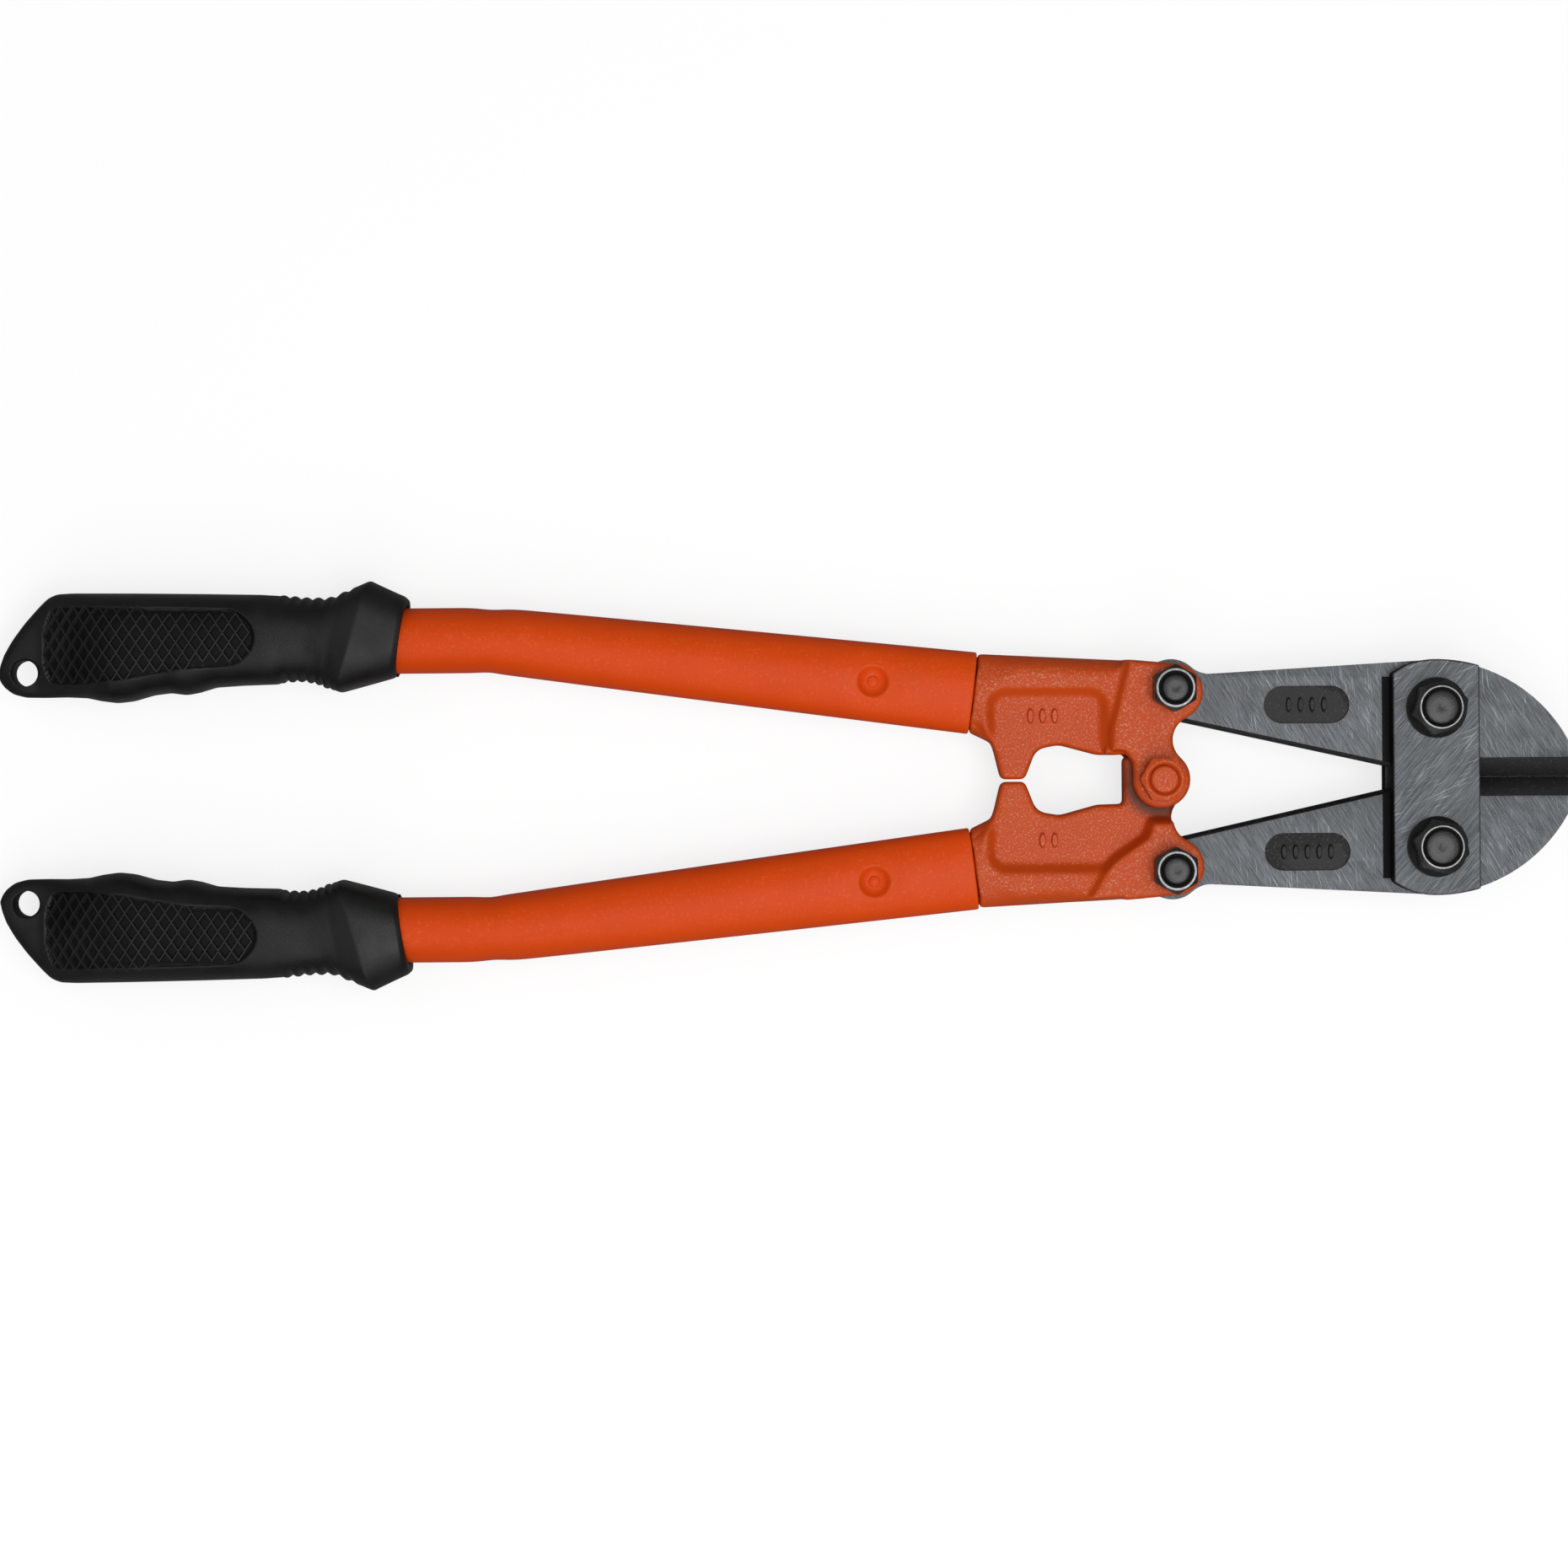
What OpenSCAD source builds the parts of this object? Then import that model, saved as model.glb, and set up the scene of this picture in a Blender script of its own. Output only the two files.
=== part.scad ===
// Centre-cut bolt cutters with compound toggle action, lying flat.
// The tool's axis is X, the jaws point to +X, and the blades lie in planes parallel to XY.
// Outline coordinates are millimetres along the axis from a datum near mid-length, and
// millimetres out from the axis. Both halves share them, and the lower half is mirrored.

/* [Pivots] */
// Centre pivot, along the axis
centre_x = 108; // [107:0.5:109]
// Toggle pivots that join bracket and blade, along the axis
toggle_x = 111.3; // [111:0.1:111.6]
// Toggle pivots, out from the axis
toggle_y = 26.2; // [26:0.1:26.4]
// Blade pivots, along the axis
blade_pivot_x = 187; // [186:0.5:188]
// Blade pivots, out from the axis
blade_pivot_y = 20; // [19:0.5:20.5]

/* [Blades] */
// Thickness of a blade
blade_t = 8; // [7.6:0.1:8]
// Radius of the blade's nose arc
nose_r = 45; // [44.5:0.1:45.5]
// How far the nose arc's centre lies across the axis
nose_y = 11; // [10.8:0.1:11.2]
// Radius of the eye at a blade's tail
eye_r = 8.6; // [8.2:0.1:8.7]
// Where the straight jaw edge starts
heel_x = 188.8; // [188:0.1:190]
// Width of the ground bevel at a jaw's edge
jaw_bevel_w = 5.6; // [4:0.1:6]
// Thickness left at the cutting edge
jaw_land_t = 0.9; // [0.6:0.1:1.5]
// Black chamfer along a blade's inner edge
blade_chamfer = 1.1; // [0.6:0.1:1.4]
// Length of the forged pocket in a blade's face
pocket_l = 24.8; // [20:0.2:26]
// Width of the forged pocket
pocket_w = 10.9; // [8:0.1:11]
// Depth of the forged pocket
pocket_d = 0.7; // [0.4:0.1:1]

/* [Side plates] */
// Thickness of a side plate
plate_t = 5.5; // [5:0.1:6]
// Rear edge of the side plates
plate_x0 = 174.5; // [174:0.1:175]
// Front edge of the side plates
plate_x1 = 199.5; // [199:0.1:200]
// Radius of the curve at a plate's rear corners
plate_corner_r = 20; // [18:0.5:22]

/* [Brackets] */
// Thickness of the web and its pads
web_t = 8; // [7.6:0.1:8]
// Thickness of the beam along the bracket's outer side
beam_t = 14; // [13:0.1:15]
// Thickness over the two cheeks
cheek_t = 19; // [18.6:0.1:19]
// Radius of the bracket's ears
ear_r = 8.3; // [8:0.1:8.4]
// Radius of the hollow between the ears
ear_hollow_r = 7; // [6.6:0.1:7.4]
// Gap between the two stop bumps
stop_gap = 0.7; // [0.5:0.1:1]
// Length of the tang inside the tube
tang_l = 42; // [34:1:46]

/* [Tubes] */
// Outer diameter of the tube where it is round
tube_d = 19; // [18.6:0.1:19.2]
// Wall of the tube
tube_wall = 2; // [1.6:0.1:2.2]
// Centreline of the straight rear part, out from the axis
tube_y = 42; // [41.8:0.1:42.2]
// Slope of the front part towards the axis, in degrees
tube_slope = 6.7; // [6.6:0.05:6.8]
// Where the tube bends
bend_x = -85; // [-86:0.5:-84]
// Half width of the flattened front end
front_half_w = 12; // [11.6:0.1:12.1]
// Half thickness of the flattened front end
front_half_t = 7; // [6.8:0.1:7.2]

/* [Grips] */
// Thickness of a grip
grip_t = 28; // [27:0.5:28]
// Rear end of the grips
grip_x0 = -228.5; // [-229:0.5:-228]
// Front end of the grip's collar
grip_x1 = -110; // [-111:0.5:-110]
// Diameter of the hanging hole
hang_hole_d = 7.5; // [6:0.5:8]

/* [Fasteners] */
// Diameter of the blade bolts
blade_bolt_d = 10; // [9:0.1:10]
// Diameter of the toggle bolts and of the centre bolt
toggle_bolt_d = 8; // [7:0.1:8]
// Width across flats of the toggle nuts and of the centre nut
toggle_nut_af = 12; // [11:0.1:12.4]
// Height of the toggle nuts and of the centre nut
toggle_nut_h = 6.5; // [6:0.1:7]
// Width across flats of the blade nuts
blade_nut_af = 14.2; // [13:0.1:14.6]
// Height of the blade nuts with their flange
blade_nut_h = 8; // [7:0.1:8.5]
// Diameter of the blade nuts' flange
flange_d = 17.5; // [16:0.1:18]
// Height of the bolt heads at the back
head_h = 4; // [3.6:0.1:4.2]
// Diameter of the tang rivets' head
rivet_head_d = 8.9; // [8:0.1:9]

/* [Fits] */
// Radial clearance of a turning fit
turning_gap = 0.06; // [0.03:0.01:0.08]
// Radial clearance of a fastened fit
fixed_gap = 0.03; // [0.02:0.01:0.05]
// Gap between flat faces that slide on each other
flat_gap = 0.1; // [0.08:0.01:0.15]
// How far a blade bolt stands clear of its blade's bore
blade_bore_gap = 3.3; // [3.2:0.05:3.4]
// Gap between the jaws when they are shut
jaw_gap = 0.06; // [0.06:0.02:0.2]

/* [Hidden] */
$fn = 64;
far = 60;

steel = [0.42, 0.45, 0.48];
black = [0.09, 0.09, 0.10];
orange = [0.83, 0.29, 0.09];
rubber = [0.13, 0.13, 0.14];

blade_pivot = [blade_pivot_x, blade_pivot_y];
toggle = [toggle_x, toggle_y];
centre = [centre_x, 0];
nose_centre = [blade_pivot_x - 0.3, -nose_y];
tip_x = nose_centre.x + sqrt(nose_r * nose_r - nose_y * nose_y);

// The lowest points are the grips' undersides and the blade bolts' heads.
mid_z = grip_t / 2;
// This shift centres the tool's length on the origin.
shift_x = -(grip_x0 + tip_x) / 2;

plate_z0 = blade_t / 2 + flat_gap;
plate_z1 = plate_z0 + plate_t;
blade_head_h = mid_z - plate_z1;
slot_half = blade_t / 2 + flat_gap;

// ---------------------------------------------------------------- helpers

// Puts a piece of the upper half in the tool's own frame.
module place() { translate([shift_x, 0, mid_z]) children(); }

// Puts a piece of the lower half there, mirrored across the axis.
module place_mirrored() { place() mirror([0, 1, 0]) children(); }

function unit(v) = v / norm(v);

// Points of the arc that rounds corner b of the path a, b, c.
function corner_arc(a, b, c, r, n = 6) =
    let (u = unit(a - b), v = unit(c - b), half = acos(u * v) / 2,
         p0 = b + u * r / tan(half), p1 = b + v * r / tan(half),
         m = b + unit(u + v) * r / sin(half),
         a0 = atan2(p0.y - m.y, p0.x - m.x), a1 = atan2(p1.y - m.y, p1.x - m.x),
         sweep = (a1 - a0 + 540) % 360 - 180)
    [for (i = [0 : n]) m + r * [cos(a0 + sweep * i / n), sin(a0 + sweep * i / n)]];

// A closed outline from corners given as [x, y, radius].
function rounded(c) =
    [for (i = [0 : len(c) - 1])
        let (k = len(c), a = c[(i + k - 1) % k], b = c[i], d = c[(i + 1) % k])
        each (b.z > 0 ? corner_arc([a.x, a.y], [b.x, b.y], [d.x, d.y], b.z) : [[b.x, b.y]])];

// Centre of the circle of radius r that touches two circles from outside, right of a to b.
function touching(a, ra, b, rb, r) =
    let (d = norm(b - a), da = ra + r, db = rb + r,
         along = (da * da - db * db + d * d) / (2 * d), off = sqrt(da * da - along * along),
         u = unit(b - a))
    a + along * u + off * [u.y, -u.x];

module slab(half) { linear_extrude(2 * half, center = true) children(); }

module disc(at, r) { translate(at) circle(r); }

module bore(at, r) { translate(at) cylinder(r = r, h = far, center = true); }

// ---------------------------------------------------------------- blades

// The outer edge is a straight line that runs from the neck up to the nose arc.
neck = [124, 30.55];
edge_dir = unit(nose_centre + [0, nose_r] - neck);
edge_out = [-edge_dir.y, edge_dir.x];
neck_fillet_r = 8;

// Tangent point on the eye of a line from the heel along the blade's inner side.
heel = [heel_x, jaw_gap / 2];
heel_to_eye = toggle - heel;
inner_angle = atan2(heel_to_eye.y, heel_to_eye.x) + asin(eye_r / norm(heel_to_eye));
inner_end = toggle + eye_r * [-sin(inner_angle), cos(inner_angle)];

// Middle of the forged pocket.
pocket_at = [150.5, 21.3];

// Centre of the fillet between the eye and the outer edge.
eye_below_edge = (neck - toggle) * edge_out;
fillet_along = sqrt(pow(neck_fillet_r + eye_r, 2) - pow(neck_fillet_r + eye_below_edge, 2));
fillet_centre = toggle + fillet_along * edge_dir + (neck_fillet_r + eye_below_edge) * edge_out;

module blade_outline() {
    disc(toggle, eye_r);
    difference() {
        polygon([inner_end, heel, [heel_x + 2, 0.2], [nose_centre.x, 10],
                 nose_centre + [0, nose_r], neck, fillet_centre, toggle]);
        disc(fillet_centre, neck_fillet_r);
    }
    intersection() {
        disc(nose_centre, nose_r);
        polygon([heel, [tip_x + 1, heel.y], [tip_x + 1, 40], [nose_centre.x, 40],
                 [nose_centre.x, 9]]);
    }
}

module pocket_outline() {
    translate(pocket_at) {
        square([pocket_l - pocket_w, pocket_w], center = true);
        for (s = [-1, 1]) translate([s * (pocket_l - pocket_w) / 2, 0]) circle(pocket_w / 2);
    }
}

// Wedge that bevels one face along the jaw's edge.
module jaw_bevel() {
    translate([plate_x1, 0, 0]) rotate([90, 0, 90]) linear_extrude(far)
        polygon([[-1, jaw_land_t / 2], [heel.y, jaw_land_t / 2],
                 [jaw_bevel_w, blade_t / 2], [jaw_bevel_w, blade_t], [-1, blade_t]]);
}

// Wedge that chamfers one face along the blade's inner edge.
module inner_chamfer() {
    h = blade_t / 2;
    translate(heel) rotate([0, 0, inner_angle]) translate([8, 0, 0])
        rotate([90, 0, 90]) linear_extrude(norm(inner_end - heel) - 8)
            polygon([[-blade_chamfer, h], [1, h - blade_chamfer - 1], [1, h + 1],
                     [-blade_chamfer, h + 1]]);
}

module blade() {
    difference() {
        slab(blade_t / 2) blade_outline();
        bore(blade_pivot, blade_bolt_d / 2 + blade_bore_gap);
        bore(toggle, toggle_bolt_d / 2 + turning_gap);
        for (s = [0, 1]) mirror([0, 0, s]) {
            jaw_bevel();
            inner_chamfer();
            translate([0, 0, blade_t / 2 - pocket_d]) linear_extrude(2) pocket_outline();
        }
    }
}

module upper_blade() { color(steel) place() blade(); }
module lower_blade() { color(steel) place_mirrored() blade(); }

// ---------------------------------------------------------------- side plates

module plate_corner() {
    corner = [blade_pivot_x - 0.5, nose_r - nose_y - plate_corner_r];
    difference() {
        translate([plate_x0 - 1, corner.y]) square([corner.x - plate_x0 + 1, far]);
        disc(corner, plate_corner_r);
    }
}

module plate_outline() {
    difference() {
        intersection() {
            translate([plate_x0, -far]) square([plate_x1 - plate_x0, 2 * far]);
            disc(nose_centre, nose_r);
            mirror([0, 1]) disc(nose_centre, nose_r);
        }
        for (s = [0, 1]) mirror([0, s]) plate_corner();
    }
}

module side_plate() {
    difference() {
        translate([0, 0, plate_z0]) linear_extrude(plate_t) plate_outline();
        for (s = [-1, 1]) bore([blade_pivot.x, s * blade_pivot.y], blade_bolt_d / 2 + fixed_gap);
    }
}

module front_side_plate() { color(steel) place() side_plate(); }
module rear_side_plate() { color(steel) place() mirror([0, 0, 1]) side_plate(); }

// ---------------------------------------------------------------- brackets

ear = [toggle_x + 0.5, toggle_y - 1];
hollow = touching(centre, ear_r, ear, ear_r, ear_hollow_r);
joint_outer = [55.6, 36.9];
joint_inner = [52.9, 14];
beam_end = [98.6, 34.65];

// Outline of the part that both brackets have alike, from the tube to the cheeks.
module body_outline() {
    s = stop_gap / 2;
    polygon(rounded([[joint_outer.x, joint_outer.y, 1], [beam_end.x, beam_end.y, 0],
                     [103, 34.35, 0], [103, 8, 0], [96, 7.2, 0], [90, 7.2, 9], [79, 10.2, 6],
                     [72.3, 9, 4.5], [68.9, s, 1.8], [62, s, 1.8], [59.4, 10.8, 5],
                     [joint_inner.x, joint_inner.y, 0.6]]));
}

// Recessed pad, open towards the tool's axis.
module pad_outline(x1) {
    polygon(rounded([[59.2, -20, 0], [59.2, 25.3, 3.5], [x1, 25.3, 3.5], [x1, -20, 0]]));
}

// Cheeks of the upper bracket, which hold the toggle pivot and the centre pivot.
module upper_cheeks() {
    difference() {
        union() {
            polygon(rounded([[beam_end.x, beam_end.y, 0], [95.6, 23, 20], [93.3, 15, 20],
                             [93.1, 8.2, 1], [97.3, 8.2, 2], [99.7, 5, 3], [99.9, 0, 0],
                             [centre.x, 0, 0], [hollow.x, hollow.y, 0], [ear.x, ear.y, 0],
                             [ear.x, ear.y + ear_r, 0]]));
            disc(centre, ear_r);
            disc(ear, ear_r);
        }
        disc(hollow, ear_hollow_r);
    }
}

// Cheeks of the lower bracket, which hold only the toggle pivot.
module lower_cheeks() {
    difference() {
        union() {
            polygon(rounded([[86, 35.4, 0], [93.1, 23.5, 14], [103.7, 16.2, 4], [104.8, 11.9, 1.5],
                             [hollow.x, 11.9, 0], [hollow.x, hollow.y, 0], [ear.x, ear.y, 0],
                             [ear.x, ear.y + ear_r, 0], [beam_end.x, beam_end.y, 0]]));
            disc(ear, ear_r);
        }
        disc(hollow, ear_hollow_r);
    }
}

// Tongue of the lower bracket, which turns between the upper bracket's cheeks.
module tongue() {
    difference() {
        union() {
            polygon(rounded([[90, 20, 0], [90, 7.2, 0], [97.4, 7, 0], [97.4, -6.6, 1.2],
                             [102.6, -6.7, 0], [centre.x, 0, 0], [hollow.x, hollow.y, 0],
                             [ear.x, ear.y, 0], [100, 30, 0]]));
            disc(centre, eye_r);
        }
        disc(hollow, ear_hollow_r);
    }
}

// Room for the blade's tail, round the toggle pivot and out to the front.
module tail_room() {
    r = eye_r + 0.9;
    disc(toggle, r);
    polygon([toggle - [0, r], [125, 12], [125, 40], [toggle.x, 40]]);
}

// Room in the upper bracket for the lower bracket's tongue.
module tongue_room() {
    r = 12.3;
    disc(centre, r);
    polygon([centre + r * [cos(144), sin(144)], toggle - [eye_r + 0.9, 0], [125, toggle_y],
             [125, 0], centre]);
}

// Half width and half thickness of the tube at t from the bend (0) to the front end (1).
function tube_w(t) = tube_d / 2 + (front_half_w - tube_d / 2) * pow(t, 0.8);
function tube_t(t) = tube_d / 2 + (front_half_t - tube_d / 2) * t;

front_dir = [cos(tube_slope), -sin(tube_slope)];
joint_mid = (joint_outer + joint_inner) / 2;
front_l = norm(joint_mid - [bend_x, tube_y]);

// Point on the sloping centreline, t from the bend (0) to the joint with the bracket (1).
function front_point(t) = joint_mid - (1 - t) * front_l * front_dir;

sides = 28;

// Ring of points round an oval, across a centreline that slopes by a.
function ring(p, a, w, h, e = 2) =
    [for (i = [0 : sides - 1])
        let (q = 360 * i / sides, c = cos(q), s = sin(q),
             y = w * sign(c) * pow(abs(c), 2 / e), z = h * sign(s) * pow(abs(s), 2 / e))
        [p.x + y * sin(a), p.y + y * cos(a), z]];

// Side faces between rings, numbered from the first point.
function skin(n, first = 0) =
    [for (j = [0 : n - 2], i = [0 : sides - 1])
        let (k = (i + 1) % sides, a = first + j * sides, b = a + sides)
        [b + i, b + k, a + k, a + i]];

// Closed solid through a list of rings that runs towards +X.
module loft(rings) {
    n = len(rings);
    polyhedron([for (r = rings) each r],
               concat([[for (i = [0 : sides - 1]) i]], skin(n),
                      [[for (i = [sides - 1 : -1 : 0]) (n - 1) * sides + i]]));
}

// Tang of the bracket, which fills the flattened end of the tube.
module tang() {
    gap = tube_wall + 0.15;
    t0 = 1 - tang_l / front_l;
    loft([for (i = [0 : 5]) let (t = t0 + (1.006 - t0) * i / 5)
        ring(front_point(t), tube_slope, tube_w(t) - gap, tube_t(t) - gap, 2.2)]);
}

// The tang rivet sits this far back from the joint.
rivet_t = 1 - 29.5 / front_l;
rivet_at = front_point(rivet_t);
rivet_r = 2.5;

// Web and beam, with the pad given as a child left at the web's level.
module bracket_body() {
    slab(web_t / 2) body_outline();
    slab(beam_t / 2) difference() {
        body_outline();
        children();
    }
}

module bracket_bores() {
    bore(toggle, toggle_bolt_d / 2 + fixed_gap);
    bore(centre, toggle_bolt_d / 2 + turning_gap);
    bore(rivet_at, rivet_r + fixed_gap);
}

module upper_bracket() {
    color(orange) place() difference() {
        union() {
            bracket_body() pad_outline(91.6);
            slab(cheek_t / 2) upper_cheeks();
            tang();
        }
        slab(slot_half) {
            tail_room();
            tongue_room();
        }
        bracket_bores();
    }
}

module lower_bracket() {
    color(orange) place_mirrored() difference() {
        union() {
            bracket_body() pad_outline(125);
            slab(web_t / 2) tongue();
            slab(cheek_t / 2) lower_cheeks();
            tang();
        }
        slab(slot_half) tail_room();
        bracket_bores();
    }
}

// ---------------------------------------------------------------- fasteners

module hex(af, h) { cylinder(d = af / cos(30), h = h, $fn = 6); }

// Nut with a turned chamfer at its outer end and a flange if flange_r is given.
module nut(af, h, bolt_r, flange_r = 0, turn = 0) {
    c = af / 2;
    difference() {
        union() {
            intersection() {
                rotate([0, 0, turn]) hex(af, h);
                rotate_extrude() polygon([[0, 0], [c * 1.2, 0], [c * 1.2, h - 1.6], [c * 0.93, h], [0, h]]);
            }
            if (flange_r > 0)
                rotate_extrude() polygon([[0, 0], [flange_r, 0], [flange_r, 1], [c, 2.6], [0, 2.6]]);
        }
        translate([0, 0, -1]) cylinder(r = bolt_r + fixed_gap, h = h + 2);
        translate([0, 0, h - 0.9])
            rotate_extrude() polygon([[0, 0], [bolt_r + fixed_gap, 0], [bolt_r + 0.9, 1], [0, 1]]);
    }
}

// Bolt with a hexagon head under z = bottom and a chamfered end at z = top.
module bolt(af, head, r, bottom, top, turn = 0) {
    translate([0, 0, bottom - head]) intersection() {
        rotate([0, 0, turn]) hex(af, head);
        rotate_extrude() polygon([[0, 0], [af * 0.47, 0], [af * 0.6, 1.1], [af * 0.6, head], [0, head]]);
    }
    rotate_extrude() polygon([[0, bottom - 1], [r, bottom - 1], [r, top - 0.8], [r - 0.8, top], [0, top]]);
}

cheek_half = cheek_t / 2;
toggle_top = cheek_half + toggle_nut_h;
blade_top = plate_z1 + blade_nut_h;

module toggle_bolt() {
    translate(toggle)
        bolt(toggle_nut_af, head_h, toggle_bolt_d / 2, -cheek_half, toggle_top + 0.2, 30);
}

module toggle_nut() {
    translate([toggle.x, toggle.y, cheek_half])
        nut(toggle_nut_af, toggle_nut_h, toggle_bolt_d / 2, 0, 30);
}

module blade_bolt() {
    translate(blade_pivot)
        bolt(blade_nut_af + 1.8, blade_head_h, blade_bolt_d / 2, -plate_z1, blade_top + 0.4, 15);
}

module blade_nut() {
    translate([blade_pivot.x, blade_pivot.y, plate_z1])
        nut(blade_nut_af, blade_nut_h, blade_bolt_d / 2, flange_d / 2, 15);
}

module upper_blade_bolt() { color(black) place() blade_bolt(); }
module lower_blade_bolt() { color(black) place_mirrored() blade_bolt(); }
module upper_blade_nut() { color(black) place() blade_nut(); }
module lower_blade_nut() { color(black) place_mirrored() blade_nut(); }
module upper_toggle_bolt() { color(black) place() toggle_bolt(); }
module lower_toggle_bolt() { color(black) place_mirrored() toggle_bolt(); }
module upper_toggle_nut() { color(black) place() toggle_nut(); }
module lower_toggle_nut() { color(black) place_mirrored() toggle_nut(); }

pin_gap = flat_gap / 2;

module centre_bolt() {
    color(orange) place() translate(centre)
        bolt(toggle_nut_af, head_h, toggle_bolt_d / 2, -cheek_half - pin_gap, toggle_top + 0.1);
}

module centre_nut() {
    color(orange) place() translate([centre.x, 0, cheek_half + pin_gap])
        nut(toggle_nut_af, toggle_nut_h - 0.5, toggle_bolt_d / 2);
}

// ---------------------------------------------------------------- tubes

tube_rear_x = -198;
rings_front = 16;

// Rings of the tube's surface, gap in from the outside, ending just short of the bracket.
function tube_rings(gap) =
    concat([ring([tube_rear_x, tube_y], 0, tube_d / 2 - gap, tube_d / 2 - gap),
            ring([bend_x - 5, tube_y], 0, tube_d / 2 - gap, tube_d / 2 - gap)],
           [for (i = [1 : rings_front]) let (t = 0.997 * i / rings_front)
               ring(front_point(t), tube_slope, tube_w(t) - gap, tube_t(t) - gap,
                    2 + 0.2 * t)]);

module tube() {
    outer = tube_rings(0);
    inner = tube_rings(tube_wall);
    n = len(outer);
    inside = n * sides;
    last = (n - 1) * sides;
    difference() {
        polyhedron(concat([for (r = outer) each r], [for (r = inner) each r]),
                   concat(skin(n), [for (f = skin(n, inside)) [f[3], f[2], f[1], f[0]]],
                          [for (i = [0 : sides - 1]) let (k = (i + 1) % sides)
                              [i, k, inside + k, inside + i]],
                          [for (i = [0 : sides - 1]) let (k = (i + 1) % sides)
                              [inside + last + i, inside + last + k, last + k, last + i]]));
        translate([rivet_at.x, rivet_at.y, 0]) cylinder(d = rivet_head_d + 0.1, h = far);
        bore(rivet_at, rivet_r + fixed_gap);
    }
}

module upper_tube() { color(orange) place() tube(); }
module lower_tube() { color(orange) place_mirrored() tube(); }

// The rivet's domed head sits in a round opening of the tube's front wall.
module tang_rivet() {
    end = tube_t(rivet_t);
    seat = end - tube_wall - 0.13;
    translate(rivet_at) rotate_extrude()
        polygon([[0, 0.3 - end], [rivet_r - 0.4, 0.3 - end], [rivet_r, 0.7 - end], [rivet_r, seat],
                 [rivet_head_d / 2, seat], [rivet_head_d / 2, seat + 0.5], [2.6, seat + 0.9],
                 [1.8, seat + 1.7], [0, seat + 2]]);
}

module upper_tang_rivet() { color(orange) place() tang_rivet(); }
module lower_tang_rivet() { color(orange) place_mirrored() tang_rivet(); }

// ---------------------------------------------------------------- grips

// Outer side of a grip: slanted rear end, straight back and collar.
outer_side = [[-228.5, 34.5], [-227.6, 37], [-224.7, 42.9], [-218.6, 50.9], [-215, 54.9], [-211, 56.4],
              [-189, 56.4], [-165, 56.1], [-140, 54.6], [-130.5, 54.8], [-120.5, 59.3], [-110, 54.3]];
// Inner side: rounded rear end, two finger waves and collar.
inner_side = [[-228.5, 31.5], [-227, 29.6], [-224, 27.4], [-218, 26.3], [-209, 26.4], [-200, 25.4],
              [-194, 24.6], [-187, 25.9], [-179, 27.3], [-174, 26.9], [-168, 28.4], [-160, 29.4],
              [-145, 30.6], [-136, 30.2], [-129.5, 27.3], [-120, 29.5], [-110, 32.6]];
// Share of the full thickness: the tail thins down to a tab round the hanging hole.
grip_depth = [[-228.5, 0.14], [-227.6, 0.22], [-226, 0.27], [-224, 0.29], [-217, 0.32], [-214, 0.39],
              [-210, 0.53], [-205, 0.72], [-200, 0.88], [-196, 0.96], [-190, 1], [-145, 0.96], [-135, 0.92],
              [-129.5, 0.94], [-122, 1], [-110, 0.84]];
grip_rings = [-228.5, -227.6, -226, -224, -221, -217, -214, -210, -205, -200, -196, -190, -186,
              -182, -178, -174, -170, -166, -160, -152, -145, -139, -135, -132, -129.5, -126, -120.5,
              -115, -110];

hang_hole_at = [-220.7, 33.4];

function grip_ring(x) =
    let (o = lookup(x, outer_side), i = lookup(x, inner_side))
    ring([x, (o + i) / 2], 0, (o - i) / 2, grip_t / 2 * lookup(x, grip_depth), 3);

module grip() {
    difference() {
        loft([for (x = grip_rings) grip_ring(x)]);
        translate([tube_rear_x, tube_y, 0]) rotate([0, 90, 0])
            cylinder(d = tube_d + 2 * fixed_gap, h = grip_x1 - tube_rear_x + 1);
        bore(hang_hole_at, hang_hole_d / 2);
    }
}

module upper_grip() { color(rubber) place() grip(); }
module lower_grip() { color(rubber) place_mirrored() grip(); }

upper_blade();
lower_blade();
front_side_plate();
rear_side_plate();
upper_blade_bolt();
lower_blade_bolt();
upper_blade_nut();
lower_blade_nut();
upper_bracket();
lower_bracket();
centre_bolt();
centre_nut();
upper_toggle_bolt();
lower_toggle_bolt();
upper_toggle_nut();
lower_toggle_nut();
upper_tube();
lower_tube();
upper_tang_rivet();
lower_tang_rivet();
upper_grip();
lower_grip();
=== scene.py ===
import math
import bmesh
import bpy
import numpy as np
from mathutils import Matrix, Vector
from mathutils.kdtree import KDTree


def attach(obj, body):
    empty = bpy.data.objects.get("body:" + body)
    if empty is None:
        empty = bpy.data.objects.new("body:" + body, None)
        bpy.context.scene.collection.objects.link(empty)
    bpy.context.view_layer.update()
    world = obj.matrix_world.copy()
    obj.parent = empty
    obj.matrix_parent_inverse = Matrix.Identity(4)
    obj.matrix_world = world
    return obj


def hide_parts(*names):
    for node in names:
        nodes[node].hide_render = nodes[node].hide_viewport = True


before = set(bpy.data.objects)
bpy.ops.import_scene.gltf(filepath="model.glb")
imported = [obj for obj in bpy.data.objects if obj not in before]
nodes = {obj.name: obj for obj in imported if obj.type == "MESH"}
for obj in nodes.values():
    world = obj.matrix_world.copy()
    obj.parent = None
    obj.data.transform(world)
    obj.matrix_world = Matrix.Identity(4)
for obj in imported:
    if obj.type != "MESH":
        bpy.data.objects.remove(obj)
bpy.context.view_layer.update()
print("frame loaded")

mm = 0.001
scene = bpy.context.scene

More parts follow.
